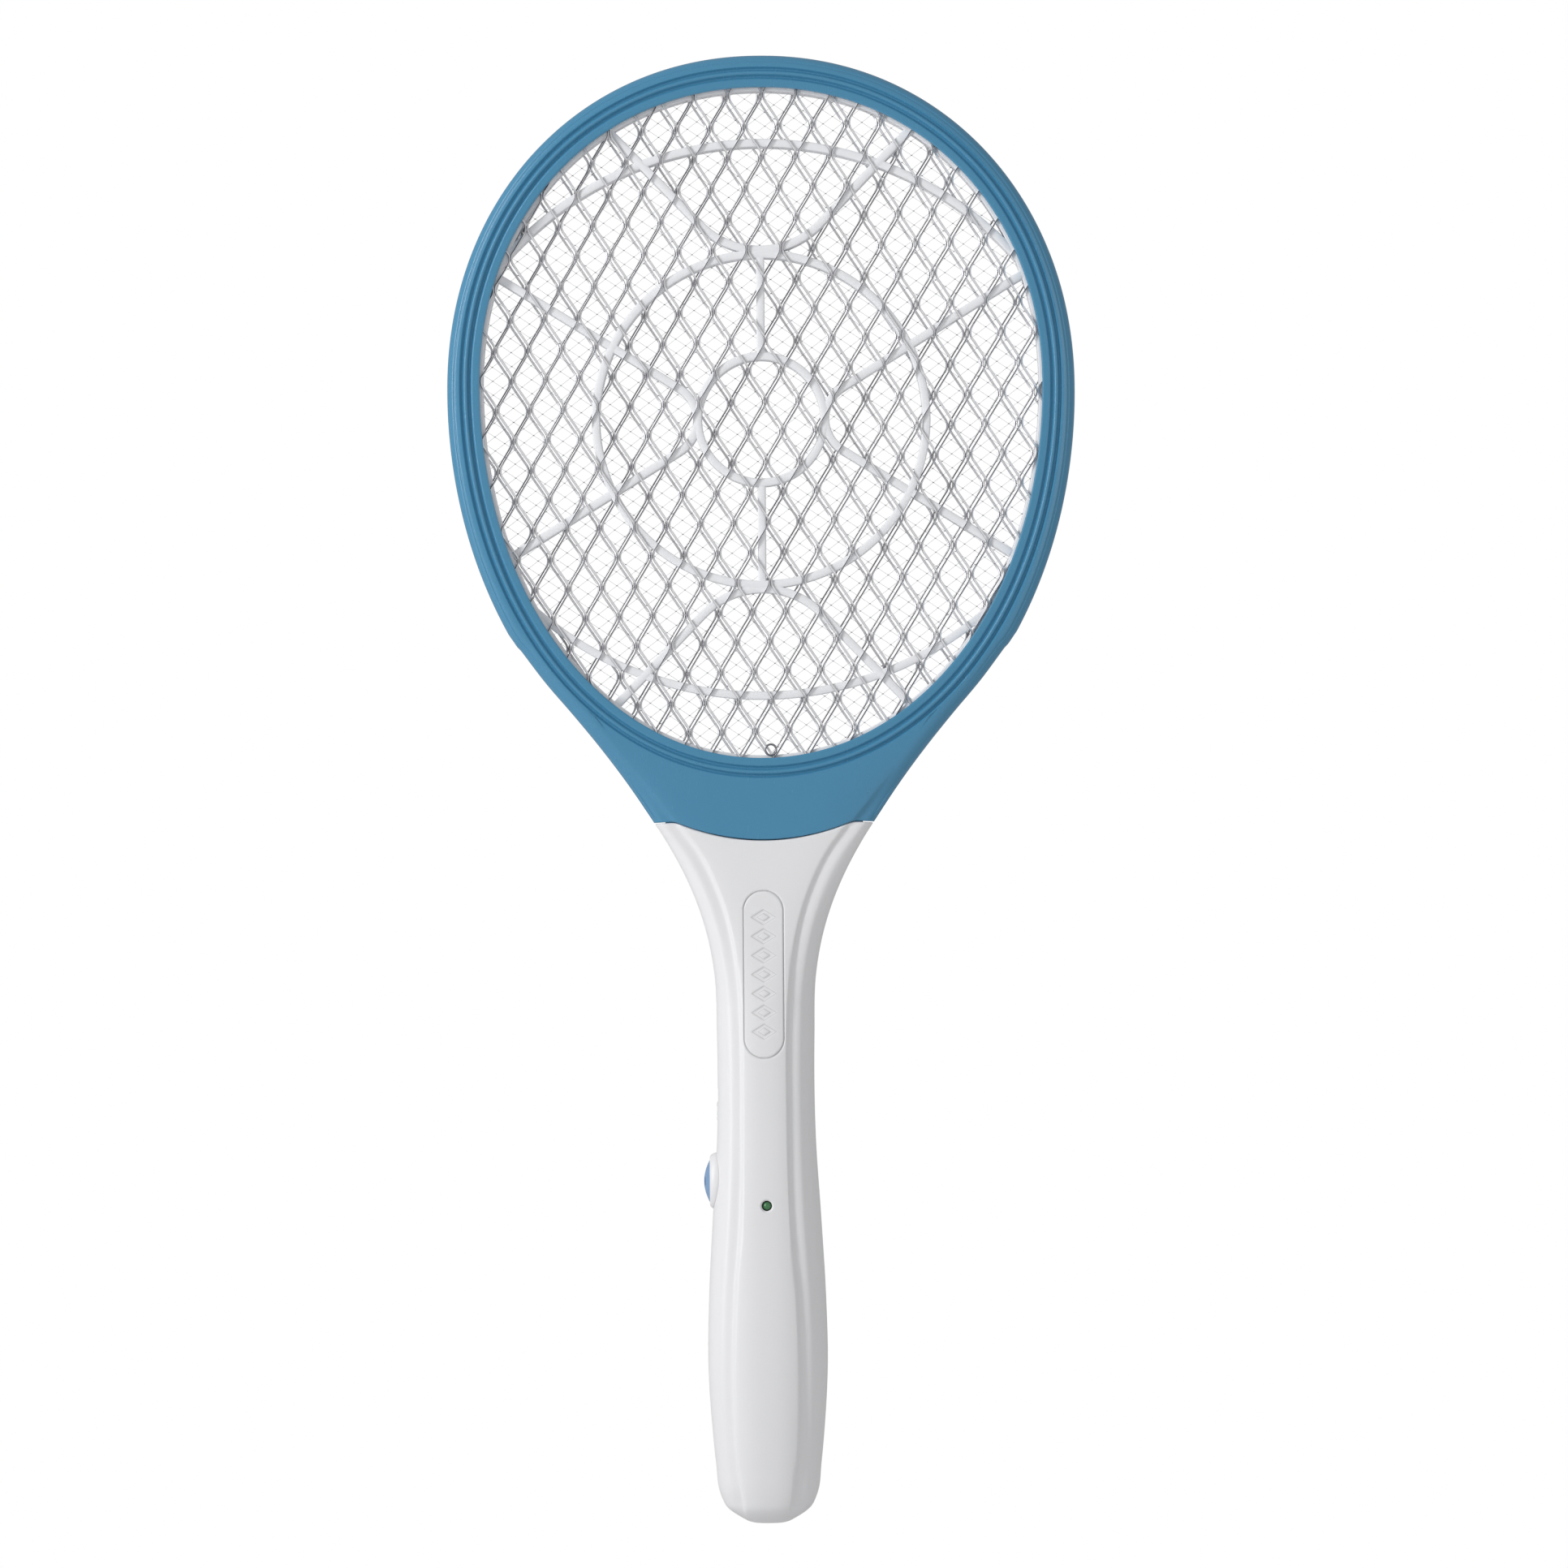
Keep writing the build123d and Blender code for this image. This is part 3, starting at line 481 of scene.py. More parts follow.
# %% [markdown]
# ## Holes with a cutter
# Screw holes, the light's hole and the windows in the side are cut with a Boolean modifier. The
# cutters are stepped rods: a radius for each depth, turned about an axis. The same step can add
# a block, such as the tongues behind the seam. The result replaces the piece's mesh, so the
# finished piece is one plain mesh and the cutter can go. Cutters that overlap each other would
# make one surface that crosses itself, so they go into separate cuts.

# %% Turned rods and the cutting step
def turned(radii, places, segments=40, axis="y", middle=(0.0, 0.0, 0.0), oval_ratio=1.0):
    """Rod with a radius at each place along its axis, closed by a pole at each end.

    oval_ratio stretches the section across, which makes an oval rod."""
    v = np.linspace(0.0, 2 * np.pi, segments, endpoint=False)
    radii = np.asarray(radii, float)[:, None]
    along = np.asarray(places, float)[:, None] * np.ones_like(v)
    across = radii * np.cos(v) * oval_ratio
    up = radii * np.sin(v)
    order = {"y": (across, along, up), "x": (along, across, up), "z": (across, up, along)}[axis]
    points = np.stack(order, -1).reshape(-1, 3)
    index = {"y": 1, "x": 0, "z": 2}[axis]
    poles = np.zeros((2, 3))
    poles[0, index], poles[1, index] = places[0], places[-1]
    points = np.concatenate([points, poles]) + np.asarray(middle)
    return outward(points, tube_faces(len(places), segments))


def cut(made, cutters, operation="DIFFERENCE"):
    """Take the cutters away from a piece, or add them, and keep the result as its mesh."""
    tool = new_object("cutter", part_mesh("cutter", joined(cutters)))
    change = made.modifiers.new("cut", "BOOLEAN")
    change.object = tool
    change.operation = operation
    change.solver = "MANIFOLD"
    bpy.context.view_layer.update()
    graph = bpy.context.evaluated_depsgraph_get()
    result = bpy.data.meshes.new_from_object(made.evaluated_get(graph))
    made.modifiers.clear()
    old = made.data
    made.data = result
    bpy.data.meshes.remove(old)
    used = tool.data
    bpy.data.objects.remove(tool)
    bpy.data.meshes.remove(used)
    result.set_sharp_from_angle(angle=SHARP_ANGLE)
    print(made.name, operation.lower(), "gives", len(result.polygons), "faces")


HEAD_SCREW_T = np.radians([25.0, 65.0, 115.0, 155.0, 197.0, 232.0, 308.0, 343.0])
HEAD_SCREW_X, HEAD_SCREW_Z = oval(HEAD_SCREW_T, OPENING, 7.0)

head_front = piece("head_front", front_frame, "handle", "head_frame_front")
head_rear = piece("head_rear", rear_frame, "handle", "head_frame_rear")
cut(head_rear, [turned([2.25, 2.25, 2.6], [5.6, 8.0, 12.0], middle=(x, 0.0, z))
                for x, z in zip(HEAD_SCREW_X, HEAD_SCREW_Z)])
for front_tongue, rear_tongue in zip(tongues(-1), tongues(1)):
    cut(head_front, [front_tongue], "UNION")
    cut(head_rear, [rear_tongue], "UNION")


# %% [markdown]
# ## The handle's cross-section
# Low down the handle is a soft oval; near the head it flattens into a plate. A superellipse does
# both: its power rises with height. Columns near the front's middle keep a fixed x, so that the
# badge's straight edges lie along the grid and stay crisp.

# %% Handle rows and columns
SHELL_WALL = 2.2
INSIDE_LIFT = 2.5
BADGE_MIDDLE = 190.8
BADGE_HALF_LENGTH = 29.4
BADGE_HALF_WIDTH = 7.35
BADGE_X = -0.5
chord = np.concatenate([[0.0], np.cumsum(np.hypot(np.diff(SECTIONS[:, 1]),
                                                  np.diff(SECTIONS[:, 0])))])


def handle_profile(run):
    """Height, half width and half depth at a distance along the side profile."""
    height, width, depth = [through(run, chord, SECTIONS[:, k]) for k in range(3)]
    end = SECTIONS[0, 1]
    inside = np.clip(1.0 + run / end, 0.0, 1.0)
    return (np.where(run < 0, 0.0, height), np.where(run < 0, end * inside, width),
            np.where(run < 0, end * inside, depth))


def handle_runs():
    """Profile distances of the rows: flat end, rounded end, grip, badge, shoulder."""
    at = lambda z: np.interp(z, SECTIONS[:, 0], chord)
    cap = np.array([-5.97, -5.0, -3.8, -2.5, -1.2, -0.4])
    low = np.linspace(0.0, at(14.0), 40)
    grip = np.linspace(at(14.0), at(160.0), 76)[1:]
    badge = at(np.linspace(160.0, 221.6, 158))[1:]
    top = at(np.concatenate([np.linspace(221.6, 243.2, 36)[1:],
                             [243.4, 243.5, 243.6, 243.69, 243.77, 243.84, 243.88, 243.9]]))
    return np.concatenate([cap, low, grip, badge, top]), at(221.6), at(243.9)


RUNS, TOP_START, TOP_END = handle_runs()
CENTRAL = np.concatenate([np.linspace(0.0, 6.0, 21), np.linspace(6.0, 7.8, 15)[1:], [8.4, 9.3]])
OUTER_SHARE = np.concatenate([np.linspace(0.0, 0.82, 36)[1:], np.linspace(0.82, 1.0, 12)[1:]])
print("handle rows", len(RUNS), "columns", 2 * (len(CENTRAL) + len(OUTER_SHARE)) - 1)


# %% [markdown]
# ## Grooves, badge and parting line
# A raised centre panel runs down the front. Its edges slope down by most of a millimetre and
# the surface then swells back. The badge is a capsule drawn by a fine groove. The real one
# carries a name; here it carries a plain row of sunk lozenge rings.

# %% Relief on the handle
PANEL_Z = [0.0, 3.1, 6.8, 20.9, 49.2, 77.5, 105.7, 148.1, 162.3, 190.5, 204.7, 218.8, 233.0,
           244.3]
PANEL_X = [7.5, 8.3, 8.8, 10.9, 12.0, 11.3, 9.2, 8.3, 8.3, 9.75, 11.9, 16.0, 22.8, 31.1]
MARK_PITCH = 6.6
MARK_HALF_X, MARK_HALF_Z = 4.4, 2.75


def panel_relief(x, z):
    """Slope down outside the centre panel's edge, swelling back over 5 mm."""
    edge = through(z, PANEL_Z, PANEL_X)
    slope = (through(z + 0.5, PANEL_Z, PANEL_X) - through(z - 0.5, PANEL_Z, PANEL_X))
    aside = (np.abs(x + 0.35) - edge) / np.hypot(1.0, slope) + 1.2
    return -0.9 * step(0.0, 1.7, aside) * (1.0 - step(1.7, 5.6, aside))


def badge_relief(x, z):
    """A fine capsule-shaped groove and, inside it, seven sunk lozenge rings."""
    length = BADGE_HALF_LENGTH - BADGE_HALF_WIDTH
    x = x - BADGE_X
    along = np.clip(z - BADGE_MIDDLE, -length, length)
    edge = np.hypot(x, z - BADGE_MIDDLE - along) - BADGE_HALF_WIDTH
    line = -0.42 * bump(-0.4, 0.42, edge)
    nearest = np.clip(np.round((z - BADGE_MIDDLE) / MARK_PITCH), -3, 3) * MARK_PITCH
    lozenge = np.abs(x) / MARK_HALF_X + np.abs(z - BADGE_MIDDLE - nearest) / MARK_HALF_Z
    mark = -0.26 * (1.0 - step(0.88, 1.04, lozenge)) + 0.26 * (1.0 - step(0.4, 0.56, lozenge))
    return line + mark


def handle_skin(side, inset):
    """Skin of one half as (rows, columns, 3); inset 0 is the outside, larger is the inside."""
    run = RUNS[:, None]
    share = np.concatenate([-OUTER_SHARE[::-1], np.zeros(2 * len(CENTRAL) - 1), OUTER_SHARE])
    central = np.concatenate([np.full(len(OUTER_SHARE), -CENTRAL[-1]), -CENTRAL[::-1],
                              CENTRAL[1:], np.full(len(OUTER_SHARE), CENTRAL[-1])])
    lift = np.clip((run - TOP_START) / (TOP_END - TOP_START), 0.0, 1.0)
    high = run * np.ones_like(central)
    for _ in range(4):
        z, width, depth = handle_profile(high)
        squash = np.minimum(1.0, width / 17.0)
        power = 2.4 + 2.1 * np.clip((z - 180.0) / 64.0, 0.0, 1.0)
        first = np.arccos(np.clip(np.abs(central) * squash / width, 0.0, 1.0) ** (power / 2))
        angle = first * (1.0 - np.abs(share))
        x = np.sign(central) * width * np.cos(angle) ** (2 / power)
        goal = 221.6 + lift * (seam_z(x) - SEAM_GAP - 221.6)
        high = np.where(lift > 0, np.interp(goal, SECTIONS[:, 0], chord), run)
    shallow = np.minimum(width / SECTIONS[0, 1], 1.0)
    y = depth * np.sin(angle) ** (2 / power)
    if inset > 0:
        x = x * (width - inset * shallow) / width
        y = y * (depth - inset * shallow) / depth
        z = z + INSIDE_LIFT * (1.0 - np.minimum(z / 20.0, 1.0))
        return np.stack([x, side * (y + 0.05), z], -1)
    flat = step(0.2, 3.0, y)
    relief = panel_relief(x, z)
    if side < 0:
        relief = relief + badge_relief(x, z)
    relief = relief * flat * step(0.0, 9.0, z)
    below = np.where(lift > 0, np.maximum(seam_z(x) - SEAM_GAP - z, 0.0), 9.0)
    relief = relief - lip_drop(below) * flat
    rounding = 0.22 * (1.0 - np.clip(y / 0.5, 0.0, 1.0)) ** 2 * shallow
    lean = np.stack([np.abs(x) / width**2, y / depth**2], 0)
    lean = lean / np.maximum(np.hypot(lean[0], lean[1]), 1e-9)
    x = x + np.sign(x) * lean[0] * (relief - rounding)
    y = y + lean[1] * relief
    return np.stack([x, side * (np.maximum(y, 0.0) + 0.05), z], -1)


def shell_half(side):
    """Outside and inside skins of a half, joined round their edges into one closed wall."""
    outer = handle_skin(side, 0.0)
    inner = handle_skin(side, SHELL_WALL)
    sheet = np.concatenate([outer, inner[:, ::-1]], axis=1)
    rows, columns = sheet.shape[:2]
    faces = [grid_faces(rows, columns, close_columns=True)]
    half = columns // 2
    for row, flip in ((0, False), (rows - 1, True)):
        a = row * columns + np.arange(half - 1)
        b = row * columns + columns - 1 - np.arange(half - 1)
        strip = np.stack([a, a + 1, b - 1, b], -1)
        faces.append(strip if flip else strip[:, ::-1])
    return outward(sheet, faces)


shell_front = piece("shell_front", shell_half(-1), "handle",
                    "handle_shell_front")
shell_rear = piece("shell_rear", shell_half(1), "handle",
                   "handle_shell_rear")


# %% Holes and windows in the handle
BUTTON_Z = 118.6
SLIDE_Z = 144.9
LIGHT_Z = 110.8
HANDLE_SCREWS = [(-11.0, 222.0), (11.0, 222.0), (0.0, 172.0), (-8.5, 43.6), (8.5, 43.6)]
side_cutters = [
    turned([10.2, 10.2], [-30.0, -11.0], 64, "x", (0.0, 0.0, BUTTON_Z), oval_ratio=0.765),
    rounded_block(-30.0, -11.0, -2.7, 2.7, SLIDE_Z - 6.0, SLIDE_Z + 6.0, power=14.0),
    turned([2.35, 2.35], [-4.0, 9.0], 32, "z", (-9.3, 0.0, 0.0)),
    turned([2.35, 2.35], [-4.0, 9.0], 32, "z", (9.3, 0.0, 0.0)),
]
cut(shell_front, side_cutters + [
    turned([2.5, 2.35, 1.8, 1.8], [-18.0, -16.02, -15.5, -9.0], 48, "y", (0.0, 0.0, LIGHT_Z))])
# For the plug: the slider's tray and its floor, the slot, and room at the bottom end.
slider_bay = rounded_block(-5.6, 5.6, 13.7, 26.0, 4.0, 40.2, power=16.0, around=64, along=32)
slider_slot = rounded_block(-2.4, 2.4, 8.0, 20.0, 9.0, 36.6, power=10.0)
for tray in ((12.1, 14.0, 10.0, 24.0), (12.2, 15.2, 19.0, 44.0)):
    cut(shell_rear, [rounded_block(-7.4, 7.4, *tray, power=16.0)], "UNION")
cut(shell_rear, side_cutters + [slider_bay] + [
    turned([2.75, 2.75, 3.1], [8.2, 13.0, 24.0], 40, "y", (x, 0.0, z)) for x, z in HANDLE_SCREWS])
cut(shell_rear, [slider_slot])
for shell in (shell_front, shell_rear):
    cut(shell, [rounded_block(-12.9, 12.9, -5.8, 5.8, 6.2, 19.0, 20.0, around=64, along=40)])


# %% [markdown]
# ## Expanded metal
# The guards start as sheet: it is slit and pulled apart, and the metal between the slits opens
# into a net of diamonds. So the net isn't woven wire. It is flat strands that zigzag from bond
# to bond, each a little twisted, and that is how it is built: one strand after the other.

# %% Strands of a guard
NET_START = np.array([-4.04, 400.3])
NET_ACROSS = np.array([11.77, 0.57])
NET_DOWN = np.array([5.97, -10.24])
BOND_HALF = 1.15
BOND_ASIDE = 0.3
STRAND_HALF = 0.38
SHEET_HALF = 0.2
# Drift in x and z for 1, x, z, xz, x^2 and z^2, in mm about the opening's middle.
PULL_X = np.array([0.0814, -0.00208, -0.00234, 1.18e-4, 3.4e-5, 3.0e-5])
PULL_Z = np.array([-0.1060, -0.01768, 0.00098, 2.0e-5, -1.2e-5, 9.3e-5])


def along_path(path, normals, profile, heights, closed=False):
    """Carry a profile along a plan path: point + normal * across, with a height of its own.

    path and normals are (n, 2) in x and z; profile and heights are (n, m) or (m,)."""
    n = len(path)
    across = np.broadcast_to(profile, (n, np.shape(profile)[-1]))
    up = np.broadcast_to(heights, (n, np.shape(heights)[-1]))
    x = path[:, 0:1] + normals[:, 0:1] * across
    z = path[:, 1:2] + normals[:, 1:2] * across
    points = np.stack([x, up, z], -1)
    m = across.shape[1]
    points = points.reshape(-1, 3)
    if closed:
        return outward(points, [grid_faces(n, m, close_rows=True, close_columns=True)])
    ends = np.stack([points[:m].mean(0), points[-m:].mean(0)])
    return outward(np.concatenate([points, ends]), tube_faces(n, m))


def plan_normals(path, closed=False):
    """Unit vectors square to a plan path."""
    if closed:
        run = np.roll(path, -1, axis=0) - np.roll(path, 1, axis=0)
    else:
        run = np.gradient(path, axis=0)
    run = run / np.linalg.norm(run, axis=1, keepdims=True)
    return np.stack([-run[:, 1], run[:, 0]], -1)


def pulled(points):
    """The sheet stretched unevenly: each point drifts by a quadratic of its place."""
    x, z = points[:, 0], points[:, 1] - 395.0
    terms = np.stack([np.ones_like(x), x, z, x * z, x * x, z * z])
    return points + np.stack([PULL_X @ terms, PULL_Z @ terms], -1)


def strand_path(column, growth):
    """Zigzag of one strand: down from a bond on its left to a bond on its right, and back.

    Also gives the twist along it: 0 at a bond, +1 halfway down to the right, -1 to the left."""
    step_down = 2 * NET_DOWN - NET_ACROSS
    count = np.arange(-14, 15)[:, None]
    bonds = []
    for place, aside in ((column, BOND_ASIDE), (column + 1, -BOND_ASIDE)):
        start = NET_START + (place // 2) * NET_ACROSS + (place % 2) * NET_DOWN
        bonds.append(start + count * step_down + np.array([aside, 0.0]))
    bonds = np.concatenate(bonds)
    bonds = bonds[np.argsort(-bonds[:, 1])]
    upper = bonds + np.array([0.0, BOND_HALF])
    lower = bonds - np.array([0.0, BOND_HALF])
    middle = (lower[:-1] + upper[1:]) / 2
    slant = np.sign(np.diff(bonds[:, 0]))
    path = np.stack([upper[:-1], lower[:-1], middle], 1).reshape(-1, 2)
    twist = np.stack([0 * slant, 0 * slant, slant], 1).ravel()
    run = np.concatenate([[0.0], np.cumsum(np.hypot(*np.diff(path, axis=0).T))])
    at = np.arange(0.0, run[-1], 0.95)
    fine = pulled(np.stack([np.interp(at, run, path[:, k]) for k in (0, 1)], -1))
    fine[1:-1] = (fine[:-2] + 2 * fine[1:-1] + fine[2:]) / 4
    inside = oval_level(fine[:, 0], fine[:, 1], OPENING, growth) < 1.0
    return fine[inside], np.interp(at, run, twist)[inside]


def guard(middle_y, shift, turn_sign):
    """All strands of a guard, and a number per point: 1 on their sides, which get painted shade,
    and 0 on their flat faces, which get a painted highlight.
    """
    parts = []
    shades = []
    wide = STRAND_HALF * np.array([1.0, 1.0, 0.74, -0.74, -1.0, -1.0, -0.74, 0.74])
    thick = SHEET_HALF * np.array([-0.45, 0.45, 1.0, 1.0, 0.45, -0.45, -1.0, -1.0])
    painted_side_shade = np.array([1.0, 1.0, 0.0, 0.0, 1.0, 1.0, 0.0, 0.0])
    for column in range(-19, 19):
        path, twist = strand_path(column, 2.2)
        if len(path) < 5:
            continue
        path = path + np.array([shift, 0.0])
        tilt = np.radians(38.0 - 36.0 * np.clip(2.2 * twist, -1.0, 1.0))[:, None] * turn_sign
        across = wide * np.cos(tilt) - thick * np.sin(tilt)
        height = wide * np.sin(tilt) + thick * np.cos(tilt)
        parts.append(along_path(path, plan_normals(path), across, middle_y + height))
        shades.append(np.concatenate([np.tile(painted_side_shade, len(path)), [1.0, 1.0]]))
    return joined(parts), np.concatenate(shades)


def paint(made, name, values):
    """Store one number per point on a piece, for its material to read."""
    layer = made.data.attributes.new(name, "FLOAT", "POINT")
    layer.data.foreach_set("value", values)


front_net, front_shades = guard(-4.6, 0.0, 1.0)
rear_net, rear_shades = guard(4.6, -1.55, -1.0)
guard_front = piece("guard_front", front_net, "handle", "guard_grid_front")
guard_rear = piece("guard_rear", rear_net, "handle", "guard_grid_rear")
# The number marks each strand's sides for painted shade and its flat faces for a painted
# highlight.
paint(guard_front, "painted_side_shade", front_shades)
paint(guard_rear, "painted_side_shade", rear_shades)


# %% [markdown]
# ## The spacer web
# The web is a moulding of round-edged ribs: two rings, two spokes, four V ribs, two bowed ribs
# and a rim. Each rib is the same small section carried along its own line, so one function
# makes them all and only the lines differ. Ribs that cross at the same height would share a
# face, which flickers in a render, so each family is slightly lower than the last.

# %% Lines of the web
WEB_Z = 383.6
RIB_HALF = 1.4


def rib_section(y0, y1, half):
    """Rounded rectangle as offsets across and heights, twelve points round."""
    r = 0.45
    turn = np.radians([-80.0, -45.0, -10.0, 10.0, 45.0, 80.0, 100.0, 135.0, 170.0, 190.0, 225.0,
                       260.0])
    cx = np.where(np.cos(turn) > 0, half - r, r - half)
    cy = np.where(np.sin(turn) > 0, y1 - r, y0 + r)
    return cx + r * np.cos(turn), cy + r * np.sin(turn)


def inside_run(x, z, growth):
    """The stretch of a line that lies inside the opening."""
    inside = np.flatnonzero(oval_level(x, z, OPENING, growth) < 1.0)
    keep = slice(inside[0], inside[-1] + 1)
    return np.stack([x[keep], z[keep]], -1)


def vee_line(apex, slope, bend, turn):
    """Straight, arc of radius bend, straight: a V whose tip is apex away from the centre."""
    half = np.radians(slope)
    corner = bend * np.tan(np.pi / 2 - half)
    far = np.linspace(130.0, corner, 60)
    x_line = apex + far * np.cos(half)
    z_line = -far * np.sin(half)
    centre = apex + bend / np.sin(half)
    sweep = np.linspace(-(np.pi / 2 - half), np.pi / 2 - half, 25)[1:-1]
    x = np.concatenate([x_line, centre - bend * np.cos(sweep), x_line[::-1]])
    z = np.concatenate([z_line, bend * np.sin(sweep), -z_line[::-1]])
    c, s = np.cos(np.radians(turn)), np.sin(np.radians(turn))
    return inside_run(c * x - s * z, WEB_Z + s * x + c * z, 0.6)


def web(y0, y1):
    """Every rib of one web, from height y0 to y1."""
    across, up = rib_section(y0, y1, RIB_HALF)
    centre = (y0 + y1) / 2
    lower = [centre + (up - centre) * share for share in (1.0, 0.985, 0.97, 0.955)]
    parts = []
    turn = np.linspace(0.0, 2 * np.pi, 181)[:-1]
    for radius in (22.0, 57.5):
        ring = np.stack([radius * np.cos(turn), WEB_Z + radius * np.sin(turn)], -1)
        parts.append(along_path(ring, plan_normals(ring, True), across, lower[0], closed=True))
    for low, high in ((23.0, 56.6), (-56.6, -23.0)):
        line = np.stack([np.zeros(6), WEB_Z + np.linspace(low, high, 6)], -1)
        parts.append(along_path(line, plan_normals(line), across, lower[3]))
    for apex, slope, bend, turned_by in ((10.7, 31.8, 12.9, 0), (10.7, 31.8, 12.9, 180),
                                         (46.4, 44.1, 28.8, 90), (46.4, 44.1, 28.8, 270)):
        line = vee_line(apex, slope, bend, turned_by)
        parts.append(along_path(line, plan_normals(line), across, lower[1]))
    bow = np.radians(np.linspace(5.0, 175.0, 240))
    for side in (1.0, -1.0):
        x = 119.4 * np.cos(bow)
        z = WEB_Z + side * (96.1 - 119.4 + 119.4 * np.sin(bow))
        line = inside_run(x, z, 0.6)
        parts.append(along_path(line, plan_normals(line), across, lower[2]))
    loop = np.stack(oval(np.linspace(0, 2 * np.pi, 301)[:-1], OPENING, 0.8), -1)
    wide, tall = rib_section(y0, y1, 1.8)
    parts.append(along_path(loop, plan_normals(loop, True), wide, tall, closed=True))
    return joined(parts)


web_front = piece("web_front", web(-4.15, -0.45), "handle",
                  "spacer_web_front")
web_rear = piece("web_rear", web(0.45, 4.15), "handle", "spacer_web_rear")


# %% [markdown]
# ## The live grid
# Two sets of hair-thin wires cross and are welded where they meet. A weld is far smaller than
# anything round it and there are two thousand of them, so each is a flattened double pyramid
# of eight faces. The whole set is one array operation.

# %% Wires and welds
WIRE_A = (np.array([0.830, -0.558]), 3.95, 0.0, -0.06)
WIRE_B = (np.array([0.793, 0.609]), 3.94, 0.5, 0.06)
WIRE_MIDDLE = np.array([0.0, OPENING["z"] - 13.0])


def wire_lines(direction, spacing, slant, height):
    """Start, end and offset of each straight wire of one set, cut to the opening."""
    direction = direction / np.linalg.norm(direction)
    across = np.array([-direction[1], direction[0]])
    offset = (np.arange(-32, 33) + slant) * spacing
    along = np.linspace(-150.0, 150.0, 1501)
    x = WIRE_MIDDLE[0] + offset[:, None] * across[0] + along * direction[0]
    z = WIRE_MIDDLE[1] + offset[:, None] * across[1] + along * direction[1]
    inside = oval_level(x, z, OPENING, 1.6) < 1.0
    keep = inside.sum(1) > 20
    first = inside.argmax(1)[keep]
    last = inside.shape[1] - 1 - inside[:, ::-1].argmax(1)[keep]
    rows = np.flatnonzero(keep)
    start = np.stack([x[rows, first], z[rows, first]], -1)
    end = np.stack([x[rows, last], z[rows, last]], -1)
    return start, end, offset[keep], across


def wire_set(direction, spacing, slant, height, radius=0.042):
    """Each wire is a square rod: four corners at each end."""
    start, end, offset, across = wire_lines(direction, spacing, slant, height)
    corner_across = np.array([1.0, 0.0, -1.0, 0.0]) * radius
    corner_up = np.array([0.0, 1.0, 0.0, -1.0]) * radius
    ends = np.stack([start, end], 1)
    x = ends[:, :, None, 0] + corner_across * across[0]
    z = ends[:, :, None, 1] + corner_across * across[1]
    y = height + corner_up + np.zeros_like(x)
    points = np.stack([x, y, z], -1).reshape(-1, 3)
    sides = grid_faces(2, 4, close_columns=True)
    quads = np.concatenate([sides, [[3, 2, 1, 0]], [[4, 5, 6, 7]]])
    faces = (quads[None] + 8 * np.arange(len(start))[:, None, None]).reshape(-1, 4)
    return outward(points, [faces])


def welds(size=0.4, tall=0.2, thick=0.22):
    """Where p + s u crosses q + t v: the two offsets give the crossing by a 2 by 2 inverse."""
    _, _, offset_a, across_a = wire_lines(*WIRE_A)
    _, _, offset_b, across_b = wire_lines(*WIRE_B)
    a, b = np.meshgrid(offset_a, offset_b, indexing="ij")
    solve = np.linalg.inv(np.stack([across_a, across_b]))
    places = WIRE_MIDDLE + np.stack([a.ravel(), b.ravel()], -1) @ solve.T
    places = places[oval_level(places[:, 0], places[:, 1], OPENING, 0.4) < 1.0]
    shape = np.array([[size, 0, 0], [0, 0, tall], [-size, 0, 0], [0, 0, -tall],
                      [0, -thick, 0], [0, thick, 0]])
    points = np.stack([places[:, 0], np.zeros(len(places)), places[:, 1]], -1)[:, None] + shape
    ring = np.arange(4)
    octahedron = np.concatenate([fan_faces(ring, 4), fan_faces(ring, 5, flip=True)])
    faces = (octahedron[None] + 6 * np.arange(len(places))[:, None, None]).reshape(-1, 3)
    print("welds", len(places))
    return outward(points.reshape(-1, 3), [faces])


live_grid = piece("live_grid", joined([wire_set(*WIRE_A), wire_set(*WIRE_B), welds()]),
                  "handle", "hot_grid")


# %% [markdown]
# ## Collar and push button
# Both are oval turned shapes lying on their side: a radius for each depth, stretched across.
# The button's face is domed: it falls back with the square of the distance from its middle.

# %% Collar and button
def oval_loop(x_places, half_z, middle_z, ratio, segments=96):
    """Closed tube wall: a ring of radius half_z for each place in x, as a torus-like grid."""
    v = np.linspace(0.0, 2 * np.pi, segments, endpoint=False)
    half_z = np.asarray(half_z, float)[:, None]
    x = np.asarray(x_places, float)[:, None] * np.ones_like(v)
    drop = half_z * np.cos(v)
    side = (half_z - 10.0 * (1.0 - ratio)) * np.sin(v)
    points = np.stack([x, side, middle_z + drop], -1)
    return outward(points, [grid_faces(len(x), segments, close_rows=True, close_columns=True)])


collar_x = [-13.2, -13.2, -16.7, -17.6, -18.4, -19.05, -19.5, -19.75, -19.8, -19.7, -19.4,
            -17.2, -17.2, -16.2, -16.2]
collar_r = [9.2, 10.0, 10.0, 9.93, 9.7, 9.35, 8.95, 8.6, 8.35, 8.15, 8.05, 8.05, 8.0, 8.0, 9.2]
collar = piece("button_collar", oval_loop(collar_x, collar_r, BUTTON_Z, 0.75), "handle",
               "button_bezel")


